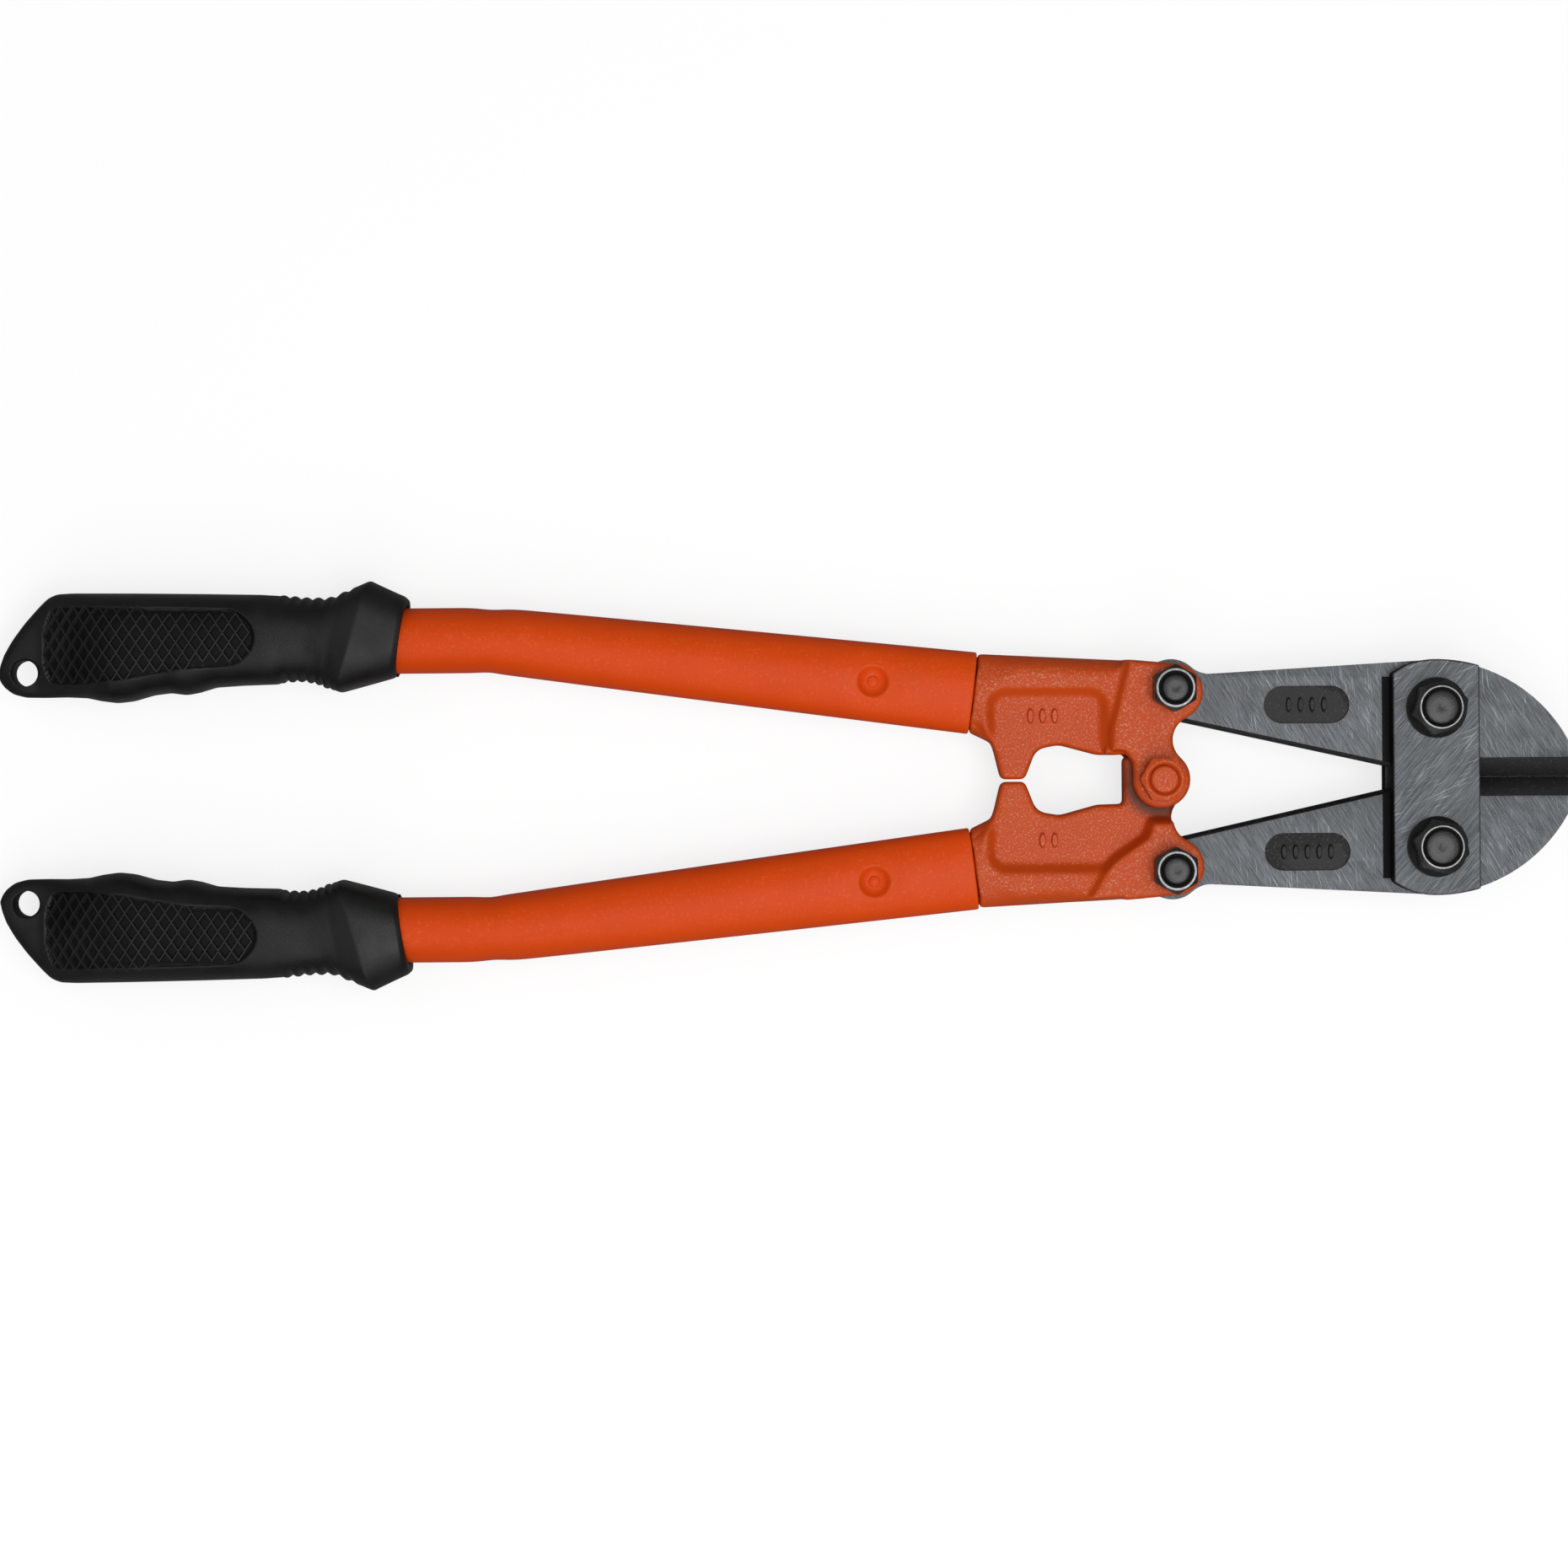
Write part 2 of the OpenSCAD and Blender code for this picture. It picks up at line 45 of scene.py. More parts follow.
# what the whole tool shares, in mm: outlines are given along the tool's axis from its own datum
tool = {
    "datum": -0.9174,       # where the datum lies in the frame
    "midHeight": 14.0,      # the middle plane of blades, brackets and tubes
    "centrePivot": 108.0,
    "togglePivot": (111.3, 26.2),
    "bladePivot": (187.0, 20.0),
}


def pose(x, y, z=0.0):
    # a point of the tool, from mm along, across and above its middle plane, in the frame
    return Vector(((x + tool["datum"]) * mm, y * mm, (z + tool["midHeight"]) * mm))


# ---- camera, floor and light

cameraSetup = {
    "distance": 0.950,      # above the tool's middle plane
    "viewWidth": 0.4559,    # what the picture's width takes in there
    "aimX": -0.00187, "aimY": -0.00045,
    "turn": -0.47,          # degrees
    "sensor": 36.0,
}


def newObject(name, data):
    made = bpy.data.objects.new(name, data)
    scene.collection.objects.link(made)
    return made


def makeCamera(c):
    data = bpy.data.cameras.new("camera")
    data.sensor_width = c["sensor"]
    data.lens = c["sensor"] * c["distance"] / c["viewWidth"]
    data.clip_start, data.clip_end = 0.01, 20
    camera = newObject("camera", data)
    camera.location = (c["aimX"], c["aimY"], c["distance"] + tool["midHeight"] * mm)
    camera.rotation_euler = (0, 0, math.radians(c["turn"]))
    scene.camera = camera


lightSetup = {
    "world": 0.27,
    "softbox": {"at": (0.34, -0.12, 1.35), "size": 0.8, "power": 9.4},
    "fill": {"at": (0.0, -0.95, 1.2), "size": 1.1, "power": 6.5},
    "rim": {"at": (-0.6, 0.4, 1.2), "size": 1.0, "power": 2.2},
}


def makeLights(c):
    for name in ("softbox", "fill", "rim"):
        spec = c[name]
        data = bpy.data.lights.new(name, "AREA")
        data.size, data.energy = spec["size"], spec["power"]
        lamp = newObject(name, data)
        lamp.location = spec["at"]
        aim = Vector((0, 0, 0)) - Vector(spec["at"])
        lamp.rotation_euler = aim.to_track_quat("-Z", "Y").to_euler()
    world = bpy.data.worlds.new("studio")
    world.use_nodes = True
    back = world.node_tree.nodes["Background"]
    back.inputs["Color"].default_value = (1, 1, 1, 1)
    back.inputs["Strength"].default_value = c["world"]
    scene.world = world
    scene.view_settings.view_transform = "Standard"


# ---- node helpers

def join(tree, source, target):
    tree.links.new(source, target)


def newNode(tree, kind, inputs=None, **settings):
    # inputs are other nodes' sockets, numbers, vectors, colours or names
    node = tree.nodes.new(kind)
    for key, value in settings.items():
        setattr(node, key, value)
    for key, value in (inputs or {}).items():
        socket = node.inputs[key]
        if isinstance(value, bpy.types.NodeSocket):
            join(tree, value, socket)
        else:
            socket.default_value = (*value, 1) if socket.type == "RGBA" else value
    return node


def mathNode(tree, operation, a, b=None):
    inputs = {0: a} if b is None else {0: a, 1: b}
    return newNode(tree, "ShaderNodeMath", inputs, operation=operation).outputs[0]


def vectorNode(tree, operation, a, b):
    return newNode(tree, "ShaderNodeVectorMath", {0: a, 1: b}, operation=operation).outputs[0]


def combined(tree, x=0.0, y=0.0, z=0.0):
    return newNode(tree, "ShaderNodeCombineXYZ", {0: x, 1: y, 2: z}).outputs[0]


def parted(tree, vector):
    return newNode(tree, "ShaderNodeSeparateXYZ", {0: vector}).outputs


def rangeNode(tree, value, low, high, toLow=0.0, toHigh=1.0):
    inputs = {"Value": value, "From Min": low, "From Max": high, "To Min": toLow, "To Max": toHigh}
    return newNode(tree, "ShaderNodeMapRange", inputs, interpolation_type="SMOOTHSTEP").outputs["Result"]


def mixColours(tree, factor, a, b):
    return newNode(tree, "ShaderNodeMix", {0: factor, 6: a, 7: b}, data_type="RGBA").outputs[2]


def noiseNode(tree, vector, scale, detail=2.0, roughness=0.5, distortion=0.0):
    inputs = {"Vector": vector, "Scale": scale, "Detail": detail, "Roughness": roughness,
              "Distortion": distortion}
    return newNode(tree, "ShaderNodeTexNoise", inputs).outputs["Fac"]


def bumpNode(tree, height, distance, strength):
    inputs = {"Height": height, "Distance": distance, "Strength": strength}
    return newNode(tree, "ShaderNodeBump", inputs).outputs[0]


def newTree(kind, name, inputs, outputs):
    # inputs are (label, kind, default); returns the tree, what it is given and what it gives back
    tree = bpy.data.node_groups.new(name, kind + "NodeTree")
    for label, socketKind, value in inputs:
        socket = tree.interface.new_socket(label, in_out="INPUT", socket_type="NodeSocket" + socketKind)
        if value is not None:
            socket.default_value = value
    for label, socketKind in outputs:
        tree.interface.new_socket(label, in_out="OUTPUT", socket_type="NodeSocket" + socketKind)
    return tree, newNode(tree, "NodeGroupInput").outputs, newNode(tree, "NodeGroupOutput").inputs


def scratchGroup():
    # long fine scratches that all run one way, and a few deep ones
    tree, given, result = newTree("Shader", "grindingScratches", [
        ("Position", "Vector", None), ("Angle", "Float", 0.8), ("Fineness", "Float", 900.0),
        ("Length", "Float", 0.06), ("Seed", "Vector", None)], [("Fine", "Float"), ("Deep", "Float")])
    shifted = vectorNode(tree, "ADD", given["Position"], given["Seed"])
    turn = newNode(tree, "ShaderNodeVectorRotate", {"Vector": shifted, "Angle": given["Angle"]},
                   rotation_type="Z_AXIS")
    drawn = vectorNode(tree, "MULTIPLY", turn.outputs[0], combined(tree, given["Length"], 1.0, 0.2))
    join(tree, noiseNode(tree, drawn, given["Fineness"], 3.0, 0.6), result["Fine"])
    coarse = noiseNode(tree, drawn, mathNode(tree, "MULTIPLY", given["Fineness"], 0.8), 1.0, 0.5, 0.3)
    join(tree, rangeNode(tree, coarse, 0.63, 0.70), result["Deep"])
    return tree


def paintGroup():
    # pimples of cast metal or orange peel under a powder coat, and the light specks they give; on the orange
    # paint the specks are grain and painted sheen both
    tree, given, result = newTree("Shader", "paintGrain", [
        ("Position", "Vector", None), ("Grain", "Float", 900.0), ("Specks", "Float", 0.5),
        ("Depth", "Float", 0.2)], [("Speck", "Float"), ("Blotch", "Float"), ("Normal", "Vector")])
    grain = noiseNode(tree, given["Position"], given["Grain"], 2.0, 0.55)
    fine = noiseNode(tree, given["Position"], mathNode(tree, "MULTIPLY", given["Grain"], 2.1), 2.0, 0.6)
    speck = rangeNode(tree, fine, 0.52, 0.72)
    join(tree, mathNode(tree, "MULTIPLY", speck, given["Specks"]), result["Speck"])
    join(tree, noiseNode(tree, given["Position"], 60.0, 3.0, 0.6), result["Blotch"])
    height = mathNode(tree, "ADD", grain, mathNode(tree, "MULTIPLY", fine, 0.5))
    join(tree, bumpNode(tree, height, 0.00012, given["Depth"]), result["Normal"])
    return tree


def edgeGroup():
    # masks of sharp ridges and of hollows, from how sharply the surface turns: hollows get painted shade,
    # ridges get wear on black steel and a painted highlight on orange paint
    tree, given, result = newTree("Shader", "edgesAndHollows", [("Width", "Float", 0.05)],
                                  [("Ridge", "Float"), ("Hollow", "Float")])
    point = newNode(tree, "ShaderNodeNewGeometry").outputs["Pointiness"]
    for label, operation in (("Ridge", "ADD"), ("Hollow", "SUBTRACT")):
        full = mathNode(tree, operation, 0.5, given["Width"])
        join(tree, rangeNode(tree, point, 0.5, full), result[label])
    return tree


def newMaterial(name, roughness, metallic=0.0, specular=0.5):
    material = bpy.data.materials.new(name)
    material.use_nodes = True
    tree = material.node_tree
    shader = tree.nodes["Principled BSDF"].inputs
    shader["Roughness"].default_value = roughness
    shader["Metallic"].default_value = metallic
    shader["Specular IOR Level"].default_value = specular
    return material, tree, shader, newNode(tree, "ShaderNodeTexCoord").outputs["Object"]


def useGroup(tree, group, **values):
    return newNode(tree, "ShaderNodeGroup", values, node_tree=group).outputs


# ---- materials

scratches = scratchGroup()
paintGrain = paintGroup()
edges = edgeGroup()

orange = {
    # per paint: speck colours are grain with painted sheen, ridge colours painted highlights, hollow colours
    # painted shade
    "cast": {"base": (0.525, 0.060, 0.003), "speck": (0.63, 0.30, 0.19), "hollow": (0.45, 0.034, 0.001),
             "ridgeHighlight": (0.60, 0.10, 0.03), "grain": 900.0, "specks": 0.74, "depth": 0.9, "roughness": 0.5,
             "specular": 0.24},
    "tube": {"base": (0.68, 0.063, 0.003), "speck": (0.72, 0.14, 0.04), "hollow": (0.48, 0.036, 0.001),
             "ridgeHighlight": (0.70, 0.09, 0.01), "grain": 500.0, "specks": 0.35, "depth": 0.16, "roughness": 0.40,
             "specular": 0.12},
    "edgeWidth": 0.06, "wearAndHighlight": 0.35, "hollowShadeAmount": 0.8, "patchy": 0.16,
    "flat": (0.72, 0.96),       # how level a face is where the painted sheen specks begin and where they are full
    # old greasy grime and painted shade between the brackets: reach round the centre pivot and height, in m,
    # where it fades out
    "greaseAndShade": {"colour": (0.045, 0.017, 0.010), "reach": (0.0135, 0.0088), "height": (0.0080, 0.0052),
               "most": 0.85},
}


def greaseAndShadeMask(tree, position, blotch, c):
    # greasy grime and painted shade: full between the brackets near the centre pivot, fading out along them
    # and towards their faces
    x, y, z = parted(tree, position)
    pivot = pose(tool["centrePivot"], 0)
    along = mathNode(tree, "SUBTRACT", x, pivot.x)
    flat = combined(tree, along, y, 0.0)
    away = newNode(tree, "ShaderNodeVectorMath", {0: flat}, operation="LENGTH").outputs["Value"]
    near = rangeNode(tree, away, *c["reach"])
    height = mathNode(tree, "ABSOLUTE", mathNode(tree, "SUBTRACT", z, pivot.z))
    low = rangeNode(tree, height, *c["height"])
    patchy = rangeNode(tree, blotch, 0.25, 0.55, 0.6 * c["most"], c["most"])
    return mathNode(tree, "MULTIPLY", mathNode(tree, "MULTIPLY", near, low), patchy)


def orangePaint(name, c, greaseAndShade=None):
    material, tree, shader, position = newMaterial(name, c["roughness"], 0.0, c["specular"])
    grain = useGroup(tree, paintGrain, Position=position, Grain=c["grain"], Specks=c["specks"],
                     Depth=c["depth"])
    turning = useGroup(tree, edges, Width=orange["edgeWidth"])
    normal = newNode(tree, "ShaderNodeNewGeometry").outputs["True Normal"]
    sheenOnLevelFaces = rangeNode(tree, mathNode(tree, "ABSOLUTE", parted(tree, normal)[2]), *orange["flat"])
    specks = mathNode(tree, "MULTIPLY", grain["Speck"], sheenOnLevelFaces)   # painted sheen: lighter specks only on level faces, which face the lamps; walls stay plain
    colour = mixColours(tree, specks, c["base"], c["speck"])
    # random darker patches, laid in the colour of the painted hollow shade
    patches = rangeNode(tree, grain["Blotch"], 0.3, 0.7, 0.0, orange["patchy"])
    colour = mixColours(tree, patches, colour, c["hollow"])
    # painted highlight on sharp ridges and painted shade in hollows
    for label, key, shade in (("Ridge", "wearAndHighlight", c["ridgeHighlight"]), ("Hollow", "hollowShadeAmount", c["hollow"])):
        colour = mixColours(tree, mathNode(tree, "MULTIPLY", turning[label], orange[key]), colour, shade)
    # painted shade, with old greasy grime, between the brackets near the centre pivot
    if greaseAndShade:
        greaseAndShadeAmount = greaseAndShadeMask(tree, position, grain["Blotch"], greaseAndShade)
        colour = mixColours(tree, greaseAndShadeAmount, colour, greaseAndShade["colour"])
    join(tree, colour, shader["Base Color"])
    join(tree, grain["Normal"], shader["Normal"])
    return material


steel = {
    "blade": {"base": (0.092, 0.099, 0.107), "light": (0.23, 0.246, 0.26), "dark": (0.038, 0.042, 0.048),
              "angle": 1.02, "roughness": 0.42, "fineness": 5600.0, "length": 0.026},
    "plate": {"base": (0.082, 0.089, 0.096), "light": (0.22, 0.238, 0.25), "dark": (0.034, 0.038, 0.044),
              "angle": -0.87, "roughness": 0.42, "fineness": 5600.0, "length": 0.024},
    # the second set of scratches, against the first
    "cross": {"turn": 0.45, "fineness": 0.7, "length": 1.8, "strength": 0.7},
}

blacks = {
    "oxide": {"base": (0.010, 0.010, 0.011), "light": (0.055, 0.055, 0.055), "roughness": 0.33,
              "specular": 0.5, "metallic": 0.3, "grain": 1600.0, "specks": 0.5},
    "forged": {"base": (0.0025, 0.0025, 0.0030), "light": (0.034, 0.034, 0.036), "roughness": 0.52,
               "specular": 0.24, "metallic": 0.1, "grain": 600.0, "specks": 1.0},
    # black mill scale, also laid on the blades' pocket walls as painted shade
    "scale": {"base": (0.0020, 0.0020, 0.0024), "light": (0.006, 0.006, 0.006), "roughness": 0.6,
              "specular": 0.10, "metallic": 0.0, "grain": 1600.0, "specks": 0.5},
}


def groundSteel(name, c):
    # ground faces are bright and scratched, everything else on the forging stays black
    material, tree, shader, position = newMaterial(name, c["roughness"], 0.55)
    mark = useGroup(tree, scratches, Position=position, Angle=c["angle"], Fineness=c["fineness"],
                    Length=c["length"])
    cross = steel["cross"]
    other = useGroup(tree, scratches, Position=position, Angle=c["angle"] + cross["turn"],
                     Fineness=c["fineness"] * cross["fineness"], Length=c["length"] * cross["length"],
                     Seed=(0.3, 0.1, 0.0))
    colour = mixColours(tree, rangeNode(tree, mark["Fine"], 0.3, 0.72), c["dark"], c["base"])
    blotch = rangeNode(tree, noiseNode(tree, position, 110.0, 4.0, 0.62), 0.35, 0.7, 0.0, 0.5)
    colour = mixColours(tree, blotch, colour, c["base"])
    weaker = mathNode(tree, "MULTIPLY", other["Deep"], cross["strength"])
    deep = mathNode(tree, "MAXIMUM", mark["Deep"], weaker)
    patch = rangeNode(tree, noiseNode(tree, position, 45.0, 2.0), 0.35, 0.65, 0.25, 1.0)
    colour = mixColours(tree, mathNode(tree, "MULTIPLY", deep, patch), colour, c["light"])
    join(tree, colour, shader["Base Color"])
    rough = rangeNode(tree, mark["Fine"], 0.3, 0.7, c["roughness"] + 0.12, c["roughness"] - 0.06)
    join(tree, rough, shader["Roughness"])
    height = mathNode(tree, "ADD", mark["Fine"], deep)
    join(tree, bumpNode(tree, height, 0.00005, 0.35), shader["Normal"])
    return material


def blackSteel(name, c):
    material, tree, shader, position = newMaterial(name, c["roughness"], c["metallic"], c["specular"])
    grain = useGroup(tree, paintGrain, Position=position, Grain=c["grain"], Specks=c["specks"], Depth=0.35)
    turning = useGroup(tree, edges, Width=0.08)
    shade = mixColours(tree, grain["Speck"], c["base"], c["light"])
    wearAndHighlight = mathNode(tree, "MULTIPLY", turning["Ridge"], 0.5)
    join(tree, mixColours(tree, wearAndHighlight, shade, c["light"]), shader["Base Color"])
    join(tree, grain["Normal"], shader["Normal"])
    return material


ring = {"dark": (0.19, 0.19, 0.19), "light": (0.27, 0.27, 0.267), "roughness": 0.42, "metallic": 0.8}


def turnedRing(name, c):
    material, tree, shader, position = newMaterial(name, c["roughness"], c["metallic"])
    tone = rangeNode(tree, noiseNode(tree, position, 900.0, 3.0, 0.6), 0.4, 0.65)
    join(tree, mixColours(tree, tone, c["dark"], c["light"]), shader["Base Color"])
    return material


rubber = {
    "grip": {"base": (0.0030, 0.0030, 0.0031), "light": (0.0075, 0.0075, 0.0077), "roughness": 0.42,
             "specular": 0.25},
    "panel": {"base": (0.0012, 0.0012, 0.0013), "light": (0.0040, 0.0040, 0.0041), "roughness": 0.60,
              "specular": 0.14},
    "lattice": {"base": (0.0080, 0.0080, 0.0082), "light": (0.014, 0.014, 0.014), "roughness": 0.46,
                "specular": 0.22},
    "hollow": (0.0012, 0.0012, 0.0012),
}


def gripRubber(name, c):
    material, tree, shader, position = newMaterial(name, c["roughness"], 0.0, c["specular"])
    grain = useGroup(tree, paintGrain, Position=position, Grain=1900.0, Specks=0.35, Depth=0.3)
    turning = useGroup(tree, edges, Width=0.07)
    colour = mixColours(tree, rangeNode(tree, grain["Blotch"], 0.35, 0.7), c["base"], c["light"])
    colour = mixColours(tree, grain["Speck"], colour, c["light"])
    # painted shade in the rubber's hollows
    colour = mixColours(tree, mathNode(tree, "MULTIPLY", turning["Hollow"], 0.7), colour, rubber["hollow"])
    join(tree, colour, shader["Base Color"])
    rough = rangeNode(tree, grain["Blotch"], 0.35, 0.7, c["roughness"] - 0.05, c["roughness"] + 0.1)
    join(tree, rough, shader["Roughness"])
    join(tree, grain["Normal"], shader["Normal"])
    return material


floorShape = {"half": 3.0, "height": -0.0003, "grey": 0.26, "glow": 0.76}     # metres


def floorPaint(c):
    # a pale sheet that looks lit from behind, so that it stays pale in the shade, but lights nothing itself
    material, tree, shader, position = newMaterial("paleFloor", 0.9, 0.0, 0.1)
    shader["Base Color"].default_value = (c["grey"], c["grey"], c["grey"], 1)
    shader["Emission Color"].default_value = (1, 1, 1, 1)
    seen = newNode(tree, "ShaderNodeLightPath").outputs["Is Camera Ray"]
    join(tree, mathNode(tree, "MULTIPLY", seen, c["glow"]), shader["Emission Strength"])
    return material


castOrange = orangePaint("castOrange", orange["cast"], orange["greaseAndShade"])
tubeOrange = orangePaint("tubeOrange", orange["tube"])
bladeSteel = groundSteel("bladeSteel", steel["blade"])
plateSteel = groundSteel("plateSteel", steel["plate"])
blackOxide = blackSteel("blackOxide", blacks["oxide"])
forgedBlack = blackSteel("forgedBlack", blacks["forged"])
scaleBlack = blackSteel("scaleBlack", blacks["scale"])
turnedSteel = turnedRing("turnedSteel", ring)
gripMaterial = gripRubber("gripRubber", rubber["grip"])
panelMaterial = gripRubber("panelRubber", rubber["panel"])
latticeMaterial = gripRubber("latticeRubber", rubber["lattice"])
print("materials made")


# ---- mesh helpers

def meshObject(name, vertices, faces, material, smooth=True):
    mesh = bpy.data.meshes.new(name)
    mesh.from_pydata([tuple(v) for v in vertices], [], faces)
    mesh.materials.append(material)
    mesh.polygons.foreach_set("use_smooth", [smooth] * len(mesh.polygons))
    mesh.update()
    return newObject(name, mesh)


def editMesh(mesh, change):
    form = bmesh.new()
    form.from_mesh(mesh)
    change(form)
    form.to_mesh(mesh)
    form.free()


def smoothShaded(piece):
    piece.data.polygons.foreach_set("use_smooth", [True] * len(piece.data.polygons))


def baked(piece):
    # turns live modifiers into a plain mesh
    bpy.context.view_layer.update()
    graph = bpy.context.evaluated_depsgraph_get()
    mesh = bpy.data.meshes.new_from_object(piece.evaluated_get(graph))
    piece.modifiers.clear()
    old = piece.data
    piece.data = mesh
    bpy.data.meshes.remove(old)
    mesh.name = piece.name
    return piece


def cadCopy(node, name, weld=1e-6):
    # a merged copy of a CAD node's mesh
    mesh = nodes[node].data.copy()
    mesh.name = name
    editMesh(mesh, lambda form: bmesh.ops.remove_doubles(form, verts=form.verts, dist=weld))
    mesh.materials.clear()
    return newObject(name, mesh)


def softEdges(piece, width):
    # joins flat triangles into faces and rounds the sharp edges
    editMesh(piece.data, lambda form: bmesh.ops.dissolve_limit(
        form, angle_limit=math.radians(1.0), verts=form.verts, edges=form.edges))
    bevel = piece.modifiers.new("edges", "BEVEL")
    bevel.width, bevel.segments = width, 2
    bevel.limit_method, bevel.angle_limit = "ANGLE", math.radians(28)
    bevel.harden_normals = False
    baked(piece)
    smoothShaded(piece)
    piece.data.set_sharp_from_angle(angle=math.radians(24))
    return piece


def place(piece, body, slot, *replaced):
    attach(piece, body)
    if replaced:
        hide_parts(*replaced)


def ringFaces(rings, around, closed=False):
    # quads between rings of points; a closed one joins its last ring to its first
    faces = []
    for j in range(rings if closed else rings - 1):
        a, b = j * around, (j + 1) % rings * around
        faces += [(a + i, a + (i + 1) % around, b + (i + 1) % around, b + i) for i in range(around)]
    return faces


def turned(levels, centre, around=96, flats=0.0, turn=0.0):
    # spins levels of (least radius, most radius, height) round a vertical line: a hexagon shows between the
    # two radii, a level with no radius is a point, and a shape that starts with a ring is closed to a ring
    vertices, starts, faces, bands = [], [], [], []
    for low, high, z in levels:
        starts.append(len(vertices))
        for i in range(around if high else 1):
            q = 2 * math.pi * i / around
            r = min(max(hexReach(q, flats, turn), low), high)
            vertices.append(centre + Vector((r * math.cos(q), r * math.sin(q), z)) * mm)
    pairs = list(zip(range(len(levels) - 1), range(1, len(levels))))
    if levels[0][1]:
        pairs.append((len(levels) - 1, 0))
    for a, b in pairs:
        for i in range(around):
            k = (i + 1) % around
            lower = [starts[a] + i, starts[a] + k] if levels[a][1] else [starts[a]]
            upper = [starts[b] + k, starts[b] + i] if levels[b][1] else [starts[b]]
            faces.append(tuple(lower + upper))
            bands.append(a)
    return vertices, faces, bands


def hexReach(angle, flats, turn):
    # from the middle to the side of a hexagon with slightly blunt corners
    lean = (angle - turn) % (math.pi / 3) - math.pi / 6
    return min(flats / 2 / math.cos(lean), flats / 2 * 1.135)


def ramp(value, low, high):
    t = np.clip((value - low) / (high - low), 0, 1)
    return t * t * (3 - 2 * t)


def mirrored(vertices, faces):
    flipped = [Vector((v[0], -v[1], v[2])) for v in vertices]
    return flipped, [tuple(reversed(f)) for f in faces]


makeCamera(cameraSetup)
makeLights(lightSetup)


def makeFloor(c):
    half, z = c["half"], c["height"]
    corners = [(-half, -half, z), (half, -half, z), (half, half, z), (-half, half, z)]
    meshObject("floor", corners, [(0, 1, 2, 3)], floorPaint(c), False)


makeFloor(floorShape)
print("camera, light and floor made")

# ---- handles

tubeShape = {
    "rear": -198.0, "bend": -85.0, "bendHalf": 10.0, "offset": 42.0,
    "joint": (54.25, 25.45),            # middle of the tube's front end
    "roundHalf": 9.5, "frontHalf": (11.95, 7.0), "wall": 2.0, "pinch": 0.35,
    "spread": 0.85, "flatter": 0.3,     # how early it widens, how much squarer its front is
    "lip": [(0.9, 0.0), (0.5, 0.1), (0.3, 0.4)],     # the front edge: how far back, how far in
    "around": 160, "step": 2.0, "frontStep": 1.5, "rivetBack": 29.5,
    "dish": {"edge": 4.6, "depth": 2.1, "power": 3.6, "dent": 0.25, "dentWide": 10.0, "reach": 9.0,
             "step": 0.36, "innerStep": 0.75},
    "under": {"from": 2.5, "to": 3.1, "depth": 0.6},  # the rivet's seat on the rear
}


def tubeFall(c):
    return (c["offset"] - c["joint"][1]) / (c["joint"][0] - c["bend"])


def tubeLine(x, c):
    # distance from the tool's axis and slope of the tube's centreline
    fall = tubeFall(c)
    u, b = x - c["bend"], c["bendHalf"]
    if u < -b:
        return c["offset"], 0.0
    if u < b:
        return c["offset"] - fall * (u + b) ** 2 / (4 * b), -fall * (u + b) / (2 * b)
    return c["offset"] - fall * u, -fall


def tubeHalves(x, c):
    t = min(max((x - c["bend"]) / (c["joint"][0] - c["bend"]), 0.0), 1.0)
    wide = c["roundHalf"] + (c["frontHalf"][0] - c["roundHalf"]) * t ** c["spread"]
    wide -= c["pinch"] * math.exp(-((x - c["bend"] + 1) / 4) ** 2)
    return wide, c["roundHalf"] + (c["frontHalf"][1] - c["roundHalf"]) * t, 2 + c["flatter"] * t


def tubeRing(x, inward, c):
    y, slope = tubeLine(x, c)
    wide, thick, power = tubeHalves(x, c)
    turn = math.atan(slope)
    points = []
    for i in range(c["around"]):
        q = 2 * math.pi * i / c["around"]
        cosine, sine = math.cos(q), math.sin(q)
        across = (wide - inward) * math.copysign(abs(cosine) ** (2 / power), cosine)
        up = (thick - inward) * math.copysign(abs(sine) ** (2 / power), sine)
        points.append((x - across * math.sin(turn), y + across * math.cos(turn), up))
    return points


def tubeRivet(c):
    fall = tubeFall(c)
    back = c["rivetBack"] / math.hypot(1, fall)
    return c["joint"][0] - back, c["joint"][1] + back * fall


def tubeMesh(c):
    rivetX, rivetY = tubeRivet(c)
    front, dish, under = c["joint"][0], c["dish"], c["under"]
    near, far = rivetX - dish["reach"], rivetX + dish["reach"]
    stations = [*np.arange(c["rear"], near, c["step"]), *np.arange(near, far, dish["step"]),
                *np.arange(far, front - 1.2, c["frontStep"])]
    outer = [tubeRing(x, 0, c) for x in stations]
    outer += [tubeRing(front - back, inward, c) for back, inward in c["lip"]]
    inside = [front - 0.3, front - 10, *np.arange(far, near, -dish["innerStep"])]
    inside += [0, -40, -75, -85, -95, c["rear"]]
    rings = outer + [tubeRing(x, c["wall"], c) for x in inside]
    vertices = []
    for number, points in enumerate(rings):
        for x, y, z in points:
            away = math.hypot(x - rivetX, y - rivetY)
            if z > 2:
                z -= dish["depth"] * max(0.0, 1 - (away / dish["edge"]) ** dish["power"])
                z -= dish["dent"] * (1 - ramp(away, dish["edge"], dish["dentWide"]))
            elif z < -2 and number < len(outer):
                z += under["depth"] * (1 - ramp(away, under["from"], under["to"]))
            vertices.append(pose(x, y, z))
    return vertices, ringFaces(len(rings), c["around"], True)


rivetShape = {"headRadius": 1.7, "headHeight": 0.7, "shank": 2.45, "sunk": 2.3}


